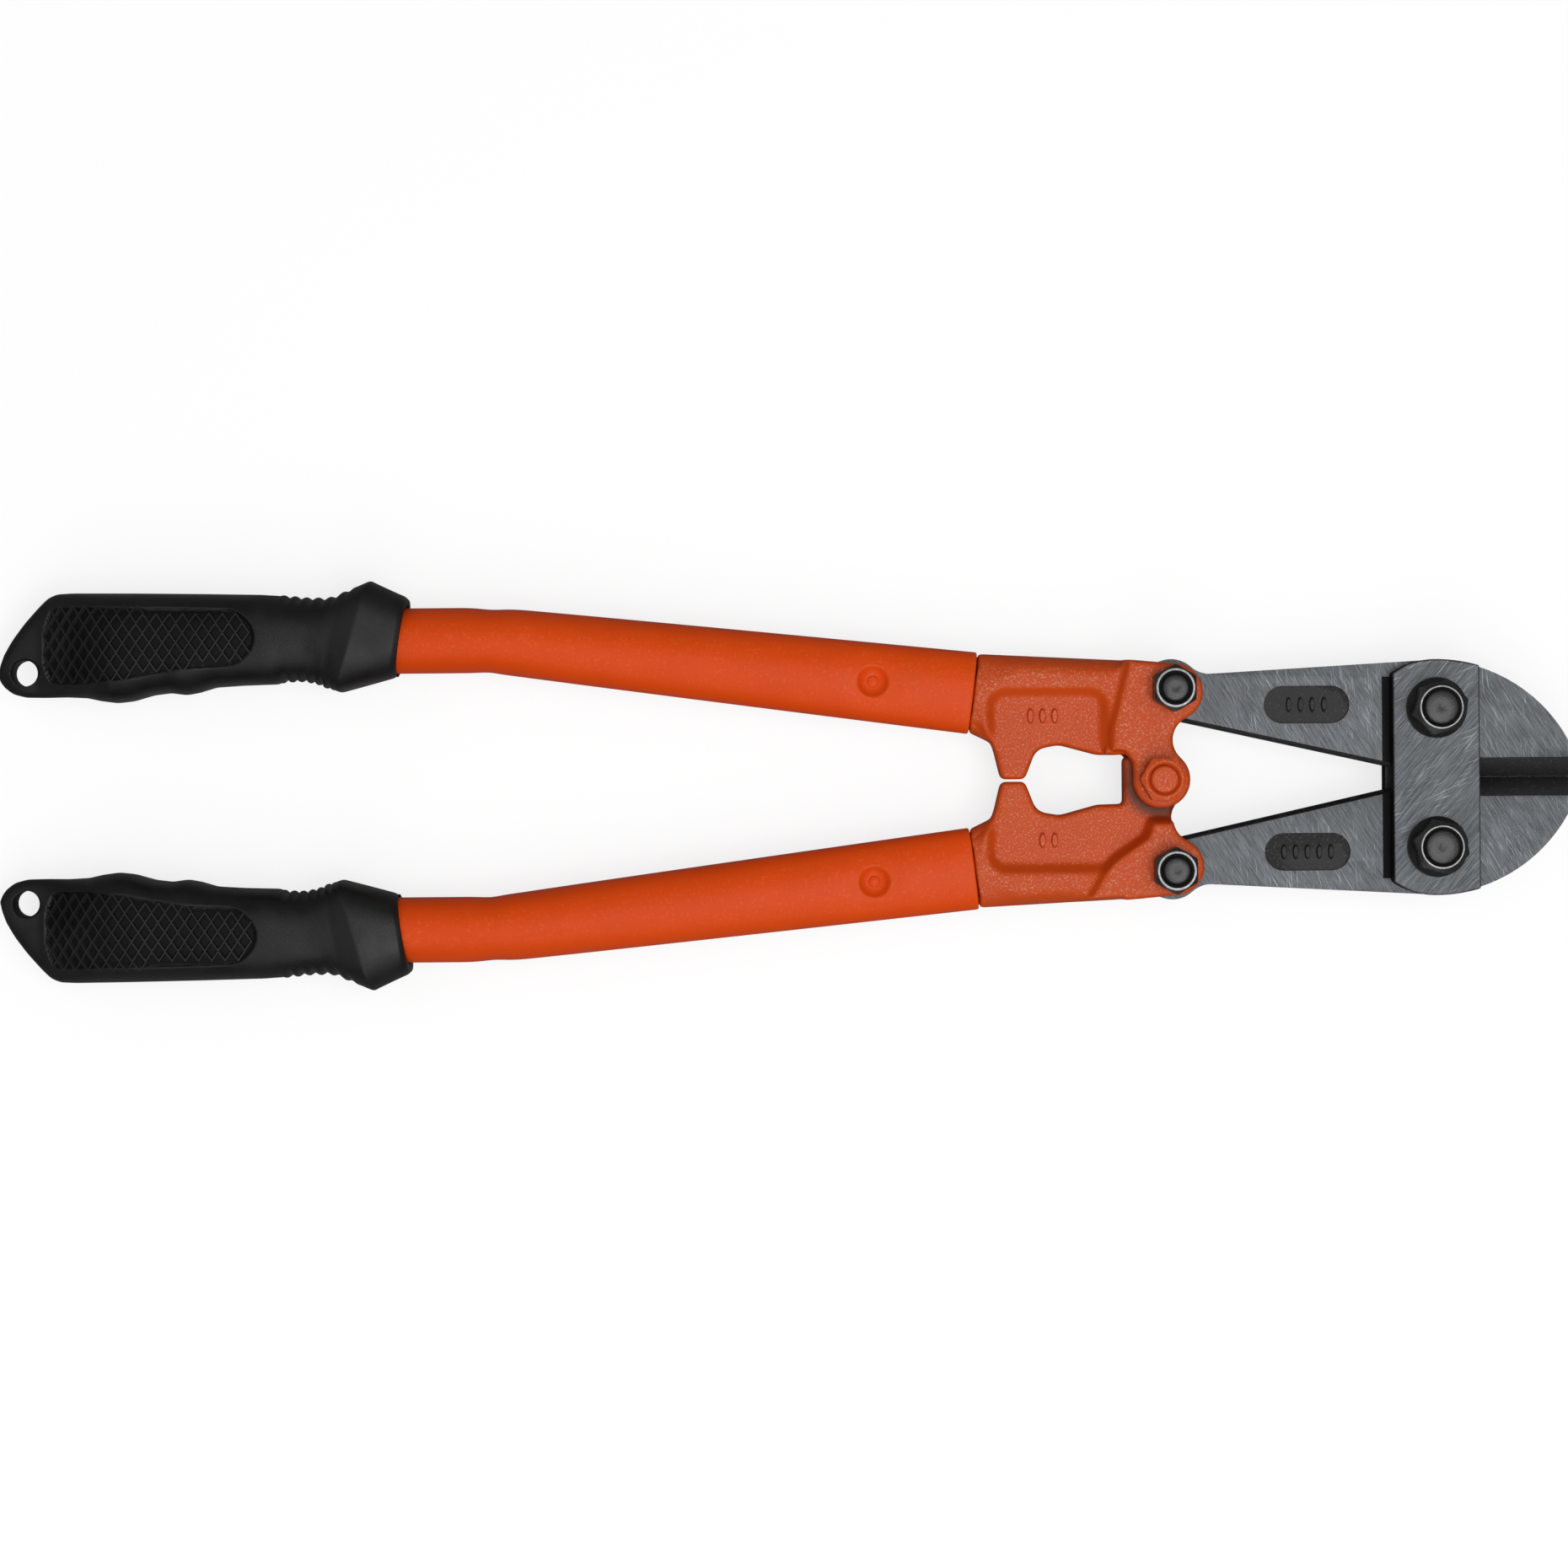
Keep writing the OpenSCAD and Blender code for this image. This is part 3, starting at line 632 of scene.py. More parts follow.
def rivetLevels(c, thick):
    # bottom end, shank, then a round head on the dish's floor
    floor, shank, head = thick - c["sunk"], c["shank"], c["headRadius"]
    profile = [(0, 0.45 - thick), (shank - 0.5, 0.45 - thick), (shank, 0.8 - thick), (shank, floor - 1),
               (head, floor - 1), (head, floor + 0.1)]
    for i in range(1, 9):
        q = math.pi / 2 * i / 9
        profile.append((head * math.cos(q), floor + 0.1 + c["headHeight"] * math.sin(q)))
    profile.append((0, floor + 0.1 + c["headHeight"]))
    return [(radius, radius, height) for radius, height in profile]


def makeHandles():
    tube = tubeMesh(tubeShape)
    rivetX, rivetY = tubeRivet(tubeShape)
    levels = rivetLevels(rivetShape, tubeHalves(rivetX, tubeShape)[1])
    rivet = turned(levels, pose(rivetX, rivetY), 48)[:2]
    for side in ("upper", "lower"):
        for name, node, shape in (("Tube", "_tube", tube), ("Rivet", "_tang_rivet", rivet)):
            vertices, faces = mirrored(*shape) if side == "lower" else shape
            piece = meshObject(side + name, vertices, faces, tubeOrange)
            place(piece, side + "_handle", "orange_paint", side + node)


makeHandles()
print("tubes and rivets made")

# ---- grips

gripShape = {
    # stations along the axis in mm, with the outer and the inner side's distance from it
    "outer": [(-228.6, 33.6), (-228.2, 36.0), (-227, 39.2), (-224.7, 43.2), (-221, 48.1), (-217, 52.6),
              (-214.2, 55.3), (-211.5, 56.4), (-207, 56.6), (-189, 56.4), (-170, 56.1), (-152, 55.7),
              (-146, 55.3), (-140, 54.6), (-135, 54.5), (-133, 54.9), (-125.2, 59.4), (-112.6, 54.9),
              (-111.6, 54.0)],
    "inner": [(-228.6, 32.2), (-228.2, 30.8), (-227, 29.2), (-224.7, 27.4), (-221, 26.4), (-215, 26.3),
              (-209, 26.4), (-203, 26.1), (-199, 25.2), (-194.5, 24.6), (-190, 25.1), (-184, 26.8),
              (-179, 27.4), (-174.5, 26.8), (-171, 27.4), (-166, 28.9), (-158, 29.4), (-147.5, 29.7),
              (-145.5, 30.5), (-139, 30.6), (-134, 29.7), (-131, 28.7), (-125.2, 27.2), (-112.6, 31.2),
              (-111.6, 32.0)],
    "depth": [(-228.6, 2.0), (-228.2, 2.7), (-227, 3.5), (-225, 3.95), (-217, 4.35), (-214, 5.3),
              (-210, 7.4), (-205, 10.1), (-200, 12.3), (-195, 13.5), (-188, 13.95), (-170, 13.9),
              (-150, 13.5), (-138, 12.8), (-131, 12.9), (-125.2, 13.95), (-112.6, 11.9), (-111.6, 11.2)],
    "power": [(-228.6, 2.2), (-222, 2.7), (-150, 2.7), (-135, 2.5), (-125.2, 3.4), (-111.6, 2.8)],
    "lean": [(-150, 0.0), (-138, 0.10), (-125.2, 0.29), (-111.6, 0.15)],   # how far a section leans
    "soften": [(-226.5, 0.2), (-133.0, 0.9), (0.0, 0.45)],      # how widely bends are rounded up to there
    "leanAbout": 42.0,
    "step": 0.42, "around": 200, "tailEnd": -226.0,     # stations stand closer up to the tail's end
    "ribs": {"from": -147.5, "to": -127.5, "fade": 2.0, "pitch": 3.0, "height": 0.75, "sunk": 0.6,
             "edgeFrom": 0.72, "edgeOver": 0.2},
    "bore": 9.62, "boreEnd": -198.0, "mouth": 0.9,
    "hole": {"at": (-220.7, 33.4), "radius": 3.75, "flare": 0.8, "face": 4.1},
    # the recessed panel's outline has round corners given as (x, y, radius)
    "panel": {"depth": 1.15, "wall": 0.55,
              "corners": [(-212.6, 52.3, 3.0), (-158, 51.2, 9.0), (-149.5, 43.0, 7.0), (-158, 34.6, 8.0),
                          (-174, 33.9, 9.0), (-190, 31.0, 12.0), (-203, 29.8, 12.0), (-214.0, 30.0, 5.0),
                          (-218.2, 38.5, 6.0)]},
}


def roundedOutline(corners, steps=6):
    points = []
    count = len(corners)
    for i in range(count):
        a, b, c = (np.array(corners[(i + k) % count][:2], float) for k in (-1, 0, 1))
        radius = corners[i][2]
        u, v = (a - b) / np.linalg.norm(a - b), (c - b) / np.linalg.norm(c - b)
        half = math.acos(float(np.dot(u, v))) / 2
        middle = b + (u + v) / np.linalg.norm(u + v) * radius / math.sin(half)
        start, end = b + u * radius / math.tan(half) - middle, b + v * radius / math.tan(half) - middle
        first = math.atan2(start[1], start[0])
        sweep = (math.atan2(end[1], end[0]) - first + 3 * math.pi) % (2 * math.pi) - math.pi
        for k in range(steps + 1):
            q = first + sweep * k / steps
            points.append(middle + radius * np.array((math.cos(q), math.sin(q))))
    return np.array(points)


def insideDistance(x, y, outline):
    # signed distance from an outline, positive inside, for arrays of points
    best = np.full(x.shape, 1e9)
    inside = np.zeros(x.shape, bool)
    for a, b in zip(outline, np.roll(outline, -1, axis=0)):
        d = b - a
        t = np.clip(((x - a[0]) * d[0] + (y - a[1]) * d[1]) / max(d @ d, 1e-9), 0, 1)
        best = np.minimum(best, np.hypot(x - a[0] - t * d[0], y - a[1] - t * d[1]))
        inside ^= ((a[1] > y) != (b[1] > y)) & (x < d[0] * (y - a[1]) / (d[1] + 1e-12) + a[0])
    return np.where(inside, best, -best)


def alongGrip(table, u, soften=0.0):
    xs, ys = zip(*table)
    spread = np.linspace(-soften, soften, 9) if soften else np.zeros(1)
    return float(np.mean(np.interp(u + spread, xs, ys)))


def gripSection(u, c):
    soften = next(width for end, width in c["soften"] if u < end)
    keys = ("outer", "inner", "depth", "power")
    outer, inner, depth, power = (alongGrip(c[key], u, soften) for key in keys)
    q = np.linspace(0, 2 * math.pi, 1441)
    cosine, sine = np.cos(q), np.sin(q)
    half, middle = (outer - inner) / 2, (outer + inner) / 2
    y = middle + half * np.sign(cosine) * np.abs(cosine) ** (2 / power)
    z = depth * np.sign(sine) * np.abs(sine) ** (2 / power)
    walked = np.concatenate(([0], np.cumsum(np.hypot(np.diff(y), np.diff(z)))))
    even = np.linspace(0, walked[-1], c["around"] + 1)[:-1]
    y, z = np.interp(even, walked, y), np.interp(even, walked, z)
    ribs = c["ribs"]
    first, last, fade = ribs["from"], ribs["to"], ribs["fade"]
    reach = ramp(u, first, first + fade) * (1 - ramp(u, last - fade, last))
    wave = 0.5 - 0.5 * math.cos(2 * math.pi * (u - first) / ribs["pitch"]) - ribs["sunk"]
    side = np.clip((np.abs(y - middle) / half - ribs["edgeFrom"]) / ribs["edgeOver"], 0, 1)
    y = y + np.sign(y - middle) * side * reach * wave * ribs["height"]
    return u + alongGrip(c["lean"], u) * (y - c["leanAbout"]), y, z


def boreRing(u, radius, c, lean):
    q = np.linspace(0, 2 * math.pi, c["around"] + 1)[:-1]
    y, z = c["leanAbout"] + radius * np.cos(q), radius * np.sin(q)
    return u + lean * (y - c["leanAbout"]), y, z


def gripMesh(c):
    tail, close, end = c["outer"][0][0], c["tailEnd"], c["outer"][-1][0]
    stations = [*np.linspace(tail, close, 9)[:-1], *np.arange(close, end, c["step"]), end]
    rings = [gripSection(u, c) for u in stations]
    lean, bore = alongGrip(c["lean"], end), c["bore"]
    for u, radius, slant in ((end + 0.15, bore + c["mouth"], lean), (end - 0.5, bore, lean),
                             (end - 8, bore, 0.0), (c["boreEnd"], bore, 0.0)):
        rings.append(boreRing(u, radius, c, slant))
    x, y, z = (np.concatenate([r[k] for r in rings]) for k in range(3))
    skin = np.arange(len(x)) < len(stations) * c["around"]
    deep = insideDistance(x, y, roundedOutline(c["panel"]["corners"]))
    panel = ramp(deep, 0, c["panel"]["wall"]) * skin * (np.abs(z) > 5)
    z = z - np.sign(z) * panel * c["panel"]["depth"]
    vertices = [pose(*p) for p in zip(x, y, z)]
    faces = ringFaces(len(rings), c["around"])
    first, last = len(vertices), (len(rings) - 1) * c["around"]
    vertices.append(pose(float(np.mean(rings[0][0])) - 0.15, float(np.mean(rings[0][1])), 0))
    vertices.append(pose(c["boreEnd"], c["leanAbout"], 0))
    for i in range(c["around"]):
        k = (i + 1) % c["around"]
        faces.append((first, k, i))
        faces.append((first + 1, last + i, last + k))
    return vertices, faces, np.concatenate((panel * (deep > 0.25), (0, 0)))


def cutHole(piece, c):
    # a drilled hole with a rounded lip at each face of the tail
    r, flare, face = c["radius"], c["flare"], c["face"]
    lip = [(0, -1.4), (0.12, -0.7), (0.45, -0.15), (1, 0.25), (2.2, 1)]      # out and up, in flares
    top = [(r + out * flare, r + out * flare, face + up * flare) for out, up in lip]
    top.append((0, 0, face + 3 * flare))
    bottom = [(low, high, -height) for low, high, height in reversed(top)]
    vertices, faces, bands = turned(bottom + top, pose(*c["at"]), 64)
    cutter = meshObject("holeCutter", vertices, faces, gripMaterial)
    cut = piece.modifiers.new("hole", "BOOLEAN")
    cut.operation, cut.solver, cut.object = "DIFFERENCE", "EXACT", cutter
    baked(piece)
    bpy.data.objects.remove(cutter)


# ---- geometry nodes helpers

def runTree(name, tree, values):
    # makes a plain mesh object from a tree and its inputs
    holder = newObject(name, bpy.data.meshes.new(name))
    modifier = holder.modifiers.new("nodes", "NODES")
    modifier.node_group = tree
    labels = {item.name: item.identifier for item in tree.interface.items_tree
              if item.item_type == "SOCKET" and item.in_out == "INPUT"}
    for label, value in values.items():
        modifier[labels[label]] = value
    return baked(holder)


def finishTree(tree, geometry, material, result):
    real = newNode(tree, "GeometryNodeRealizeInstances", {0: geometry}).outputs[0]
    painted = newNode(tree, "GeometryNodeSetMaterial", {"Geometry": real, "Material": material})
    join(tree, painted.outputs[0], result[0])
    return tree


def latticeTree():
    # a diamond lattice of bars with a pip in each diamond, laid on a grip wherever its panel is
    tree, given, result = newTree("Geometry", "gripLattice", [
        ("Grip", "Object", None), ("Diamond Length", "Float", 0.0038), ("Diamond Width", "Float", 0.0054),
        ("Columns", "Int", 36), ("Rows", "Int", 10), ("Centre", "Vector", None),
        ("Bar Width", "Float", 0.0009), ("Bar Height", "Float", 0.001), ("Pip Radius", "Float", 0.0007),
        ("Material", "Material", None)], [("Geometry", "Geometry")])

    def calc(operation, a, b=None):
        return mathNode(tree, operation, a, b)

    def read(name, kind="FLOAT"):
        return newNode(tree, "GeometryNodeInputNamedAttribute", {"Name": name}, data_type=kind).outputs[0]

    def stored(geometry, name, value, kind="FLOAT"):
        return newNode(tree, "GeometryNodeStoreNamedAttribute",
                       {"Geometry": geometry, "Name": name, "Value": value}, data_type=kind).outputs[0]

    def above(value, limit):
        return newNode(tree, "FunctionNodeCompare", {0: value, 1: limit}, data_type="FLOAT",
                       operation="GREATER_THAN").outputs[0]

    def moved(geometry, position):
        inputs = {"Geometry": geometry, "Position": position}
        return newNode(tree, "GeometryNodeSetPosition", inputs).outputs[0]

    grip = newNode(tree, "GeometryNodeObjectInfo", {"Object": given["Grip"]}).outputs["Geometry"]
    here = newNode(tree, "GeometryNodeInputPosition").outputs[0]
    halves = [calc("MULTIPLY", given[label], 0.5) for label in ("Diamond Length", "Diamond Width")]

    def laidPoints(extra):
        # a grid of points on the grip with its normal as "up": extra is 0 for the bars and 1 for the pips
        counts = [calc("ADD", calc("MULTIPLY", given[label], 2.0), extra) for label in ("Columns", "Rows")]
        sizes = [calc("MULTIPLY", calc("SUBTRACT", count, 1.0), half) for count, half in zip(counts, halves)]
        grid = newNode(tree, "GeometryNodeMeshGrid", {"Vertices X": counts[0], "Vertices Y": counts[1],
                                                      "Size X": sizes[0], "Size Y": sizes[1]})
        steps = [calc("FLOOR", calc("ADD", calc("DIVIDE", part, half), 0.25 * extra))
                 for part, half in zip(parted(tree, here), halves)]
        odd = calc("FLOORED_MODULO", calc("ADD", *steps), 2.0)
        ray = newNode(tree, "GeometryNodeRaycast", {
            "Target Geometry": grip, "Attribute": read("panel"), "Ray Direction": (0, 0, -1),
            "Source Position": vectorNode(tree, "ADD", here, given["Centre"]), "Ray Length": 0.05},
            data_type="FLOAT").outputs
        points = stored(grid.outputs["Mesh"], "odd", odd)
        points = stored(points, "up", ray["Hit Normal"], "FLOAT_VECTOR")
        points = stored(points, "inside", ray["Attribute"])
        return moved(points, ray["Hit Position"])

    def laidOut(points, shape, chosen, turn):
        level = above(read("inside"), 0.999)        # only where the floor is level, never on its walls
        both = newNode(tree, "FunctionNodeBooleanMath", {0: level, 1: chosen}, operation="AND")
        heading = newNode(tree, "FunctionNodeEulerToRotation", {0: combined(tree, 0.0, 0.0, turn)})
        align = newNode(tree, "FunctionNodeAlignRotationToVector", {
            "Rotation": heading.outputs[0], "Vector": read("up", "FLOAT_VECTOR")}, axis="Z")
        return newNode(tree, "GeometryNodeInstanceOnPoints", {
            "Points": points, "Selection": both.outputs[0], "Instance": shape,
            "Rotation": align.outputs[0]}).outputs[0]

    # a bar is a prism with sloping sides
    squares = calc("ADD", calc("MULTIPLY", halves[0], halves[0]), calc("MULTIPLY", halves[1], halves[1]))
    size = combined(tree, calc("MULTIPLY", calc("SQRT", squares), 1.1), given["Bar Width"],
                    calc("MULTIPLY", given["Bar Height"], 2.0))
    cube = newNode(tree, "GeometryNodeMeshCube", {"Size": size}).outputs["Mesh"]
    x, y, z = parted(tree, here)
    narrow = calc("SUBTRACT", 1.25, calc("MULTIPLY", calc("SIGN", z), 0.65))
    bar = moved(cube, combined(tree, x, calc("MULTIPLY", y, narrow), z))
    angle = calc("ARCTAN2", halves[1], halves[0])
    sign = calc("SUBTRACT", calc("MULTIPLY", read("odd"), 2.0), 1.0)
    bars = laidOut(laidPoints(0.0), bar, True, calc("MULTIPLY", angle, sign))

    # a pip is a low dome in the middle of a diamond
    dome = newNode(tree, "GeometryNodeMeshIcoSphere", {"Subdivisions": 1, "Radius": given["Pip Radius"]})
    pips = laidOut(laidPoints(1.0), dome.outputs["Mesh"], above(read("odd"), 0.5), angle)
    both = newNode(tree, "GeometryNodeJoinGeometry")
    join(tree, bars, both.inputs[0])
    join(tree, pips, both.inputs[0])
    return finishTree(tree, both.outputs[0], given["Material"], result)


latticeShape = {
    "Diamond Length": 3.8 * mm, "Diamond Width": 5.4 * mm, "Columns": 19, "Rows": 5,
    "Centre": tuple(pose(-184.5, 41.5, 25)), "Bar Width": 0.75 * mm, "Bar Height": 0.95 * mm,
    "Pip Radius": 0.55 * mm,
}


def bothFaces(piece):
    # adds the same shape mirrored through the tool's middle plane
    def change(form):
        copy = bmesh.ops.duplicate(form, geom=form.verts[:] + form.edges[:] + form.faces[:])["geom"]
        for v in (g for g in copy if isinstance(g, bmesh.types.BMVert)):
            v.co.z = 2 * tool["midHeight"] * mm - v.co.z
        bmesh.ops.reverse_faces(form, faces=[g for g in copy if isinstance(g, bmesh.types.BMFace)])

    editMesh(piece.data, change)


def mirroredCopy(piece, name):
    # the same piece on the other side of the tool's axis
    def change(form):
        for v in form.verts:
            v.co.y = -v.co.y
        bmesh.ops.reverse_faces(form, faces=form.faces)

    mesh = piece.data.copy()
    mesh.name = name
    editMesh(mesh, change)
    return newObject(name, mesh)


def makeGrips():
    vertices, faces, mask = gripMesh(gripShape)
    upper = meshObject("upperGrip", vertices, faces, gripMaterial)
    panel = upper.data.attributes.new("panel", "FLOAT", "POINT")
    panel.data.foreach_set("value", mask.astype(np.float32))
    upper.data.materials.append(panelMaterial)
    for face in upper.data.polygons:
        face.material_index = 1 if min(mask[i] for i in face.vertices) > 0.9 else 0
    values = dict(latticeShape, Grip=upper, Material=latticeMaterial)
    lattice = runTree("upperGripLattice", latticeTree(), values)
    bothFaces(lattice)
    upper.data.attributes.remove(upper.data.attributes["panel"])
    cutHole(upper, gripShape["hole"])
    for piece, node in ((upper, "_grip"), (lattice, None)):
        lower = mirroredCopy(piece, piece.name.replace("upper", "lower"))
        for side, made in (("upper", piece), ("lower", lower)):
            place(made, side + "_handle", "grip_rubber", *([side + node] if node else []))


makeGrips()
print("grips made")

# ---- cast marks

def markTree():
    # a row of low oval pads with sloping sides, like the marks of a casting
    tree, given, result = newTree("Geometry", "castMarks", [
        ("Count", "Int", 3), ("Pitch", "Float", 0.003), ("Mark Length", "Float", 0.0045),
        ("Mark Width", "Float", 0.0017), ("Mark Height", "Float", 0.0006), ("Middle", "Vector", None),
        ("Turn", "Float", 0.0), ("Material", "Material", None)], [("Geometry", "Geometry")])
    step = combined(tree, given["Pitch"])
    row = newNode(tree, "GeometryNodeMeshLine", {"Count": given["Count"], "Offset": step})
    pad = newNode(tree, "GeometryNodeMeshCone", {"Vertices": 20, "Radius Top": 0.34, "Radius Bottom": 0.5,
                                                 "Depth": 1.0})
    size = combined(tree, given["Mark Width"], given["Mark Length"], given["Mark Height"])
    spread = newNode(tree, "GeometryNodeInstanceOnPoints", {
        "Points": row.outputs["Mesh"], "Instance": pad.outputs["Mesh"], "Scale": size})
    half = mathNode(tree, "MULTIPLY", mathNode(tree, "SUBTRACT", 1.0, given["Count"]), 0.5)
    back = combined(tree, mathNode(tree, "MULTIPLY", half, given["Pitch"]))
    centred = newNode(tree, "GeometryNodeTransform", {"Geometry": spread.outputs[0], "Translation": back})
    put = newNode(tree, "GeometryNodeTransform", {
        "Geometry": centred.outputs[0], "Translation": given["Middle"],
        "Rotation": combined(tree, 0.0, 0.0, given["Turn"])})
    return finishTree(tree, put.outputs[0], given["Material"], result)


castMarks = markTree()


def makeMarks(name, c, at, material, body, slot):
    # c gives count, pitch, length, width, height in mm and the turn in degrees
    marks = runTree(name, castMarks, {
        "Count": c["count"], "Pitch": c["pitch"] * mm, "Mark Length": c["length"] * mm,
        "Mark Width": c["width"] * mm, "Mark Height": c["height"] * mm, "Middle": tuple(at),
        "Turn": math.radians(c["turn"]), "Material": material})
    bothFaces(marks)
    place(marks, body, slot)


# ---- brackets

bracketShape = {
    # in mm: the voxels of the two meshes, the outer edges' fillet, and how far round a nut stays flat
    "voxel": 0.5, "fineVoxel": 0.42, "smoothing": 6, "fillet": 1.5, "seat": 6.2,
    "outerEdge": ((55.6, 36.9), (98.6, 34.65)), "innerEdge": ((52.9, 14.0), (59.4, 10.8)),
    "beamHalf": 7.0, "padHalf": 4.0, "cheekHalf": 9.5,
    "collarReach": 12.0, "beamReach": 5.2, "cheekReach": 1.5, "roundness": (2.2, 1.8),
    "softSpot": ((59.4, 10.6), 2.5, 6.0, 45),   # where the collar meets the stop: point, reaches, passes
    "collarStart": 52.5, "collarBack": 56.0, "collarEnd": 59.5, "beamEnd": 97.0,
    "roundEnd": 64.0, "beamStart": 68.0,    # where the rounding and the reach have turned from collar to beam
    "nearStep": 0.9, "lipDepth": 1.3,       # what counts as a step's wall, and as a side wall's top
    "padSlope": 4.0, "cheekSlope": 2.6,     # how wide the sloping walls are
    # outlines with round corners as (x, y, radius), in mm
    "pad": {"upper": [(58.8, -20, 0), (58.8, 25.6, 4.5), (91.8, 25.6, 4.5), (91.8, -20, 0)],
            "lower": [(58.8, -20, 0), (58.8, 25.6, 4.5), (125, 25.6, 0), (125, -20, 0)]},
    "cheek": {"upper": [(98.9, 50, 0), (98.6, 34.65, 0), (95.6, 23, 20), (93.6, 15, 20), (93.4, 8.2, 1),
                        (97.3, 8.2, 0), (99.9, -20, 0), (140, -20, 0), (140, 50, 0)],
              "lower": [(77.3, 50, 0), (86, 35.4, 0), (93.1, 23.5, 14), (103.7, 16.2, 4), (104.8, 11.9, 1.5),
                        (140, 11.9, 0), (140, 50, 0)]},
    # the boxes in which pad, beam and cheeks are raised or lowered, as (from x, to x, from y, to y)
    "raised": {"upper": [(56.5, 99.5, 8.8, 50)], "lower": [(56.5, 105.5, 10.3, 50), (56.5, 112, 10.3, 13.5)]},
    "marks": {"upper": {"at": (74.0, 18.6), "count": 3, "pitch": 3.5},
              "lower": {"at": (75.5, 17.4), "count": 2, "pitch": 3.5}},
    "mark": {"length": 4.8, "width": 2.0, "height": 1.3, "turn": 0},
}


def roundedCorner(depth, height, reach, half, power):
    # moves points of a square-edged section onto an oval one: depth in from the edge, height from the middle
    u = np.clip((reach - depth) / reach, 0, 1)
    v = np.clip(np.abs(height) / half, 0, 1)
    norm = np.maximum((u ** power + v ** power) ** (1 / power), 1e-6)
    scale = np.where(u > 0, np.maximum(u, v) / norm, 1.0)
    return np.where(u > 0, reach - u * scale * reach, depth), height * scale


def edgeAt(line, x):
    (x0, y0), (x1, y1) = line
    return y0 + (x - x0) * (y1 - y0) / (x1 - x0)


def readPoints(mesh, what):
    flat = np.empty(len(mesh.vertices) * 3)
    mesh.vertices.foreach_get(what, flat)
    return flat.reshape(-1, 3)


def remeshed(piece, voxel):
    remesh = piece.modifiers.new("cast", "REMESH")
    remesh.mode, remesh.voxel_size = "VOXEL", voxel * mm
    return baked(piece)


def reachTo(points, chosen, limit):
    # distance in plan from every point to the nearest chosen one, at most limit
    tree = KDTree(int(chosen.sum()))
    for i in np.flatnonzero(chosen):
        tree.insert((points[i][0], points[i][1], 0), int(i))
    tree.balance()
    found = (tree.find((p[0], p[1], 0))[2] for p in points)
    return np.minimum(np.fromiter(found, float, len(points)), limit)


def melted(piece, sign, c):
    # an even mesh with its edges softened a little, and more at the soft spot
    remeshed(piece, c["fineVoxel"])
    (spotX, spotY), near, far, passes = c["softSpot"]
    points = readPoints(piece.data, "co")
    away = np.hypot(points[:, 0] / mm - tool["datum"] - spotX, sign * points[:, 1] / mm - spotY)
    weights = 1 - ramp(away, near, far)
    spot = piece.vertex_groups.new(name="softSpot")
    for i in np.flatnonzero(weights > 0):
        spot.add([int(i)], float(weights[i]), "REPLACE")
    for group, times in (("softSpot", passes), ("", c["smoothing"])):
        smooth = piece.modifiers.new("smooth", "SMOOTH")
        smooth.factor, smooth.iterations, smooth.vertex_group = 0.5, times, group
    baked(piece)
    piece.vertex_groups.clear()


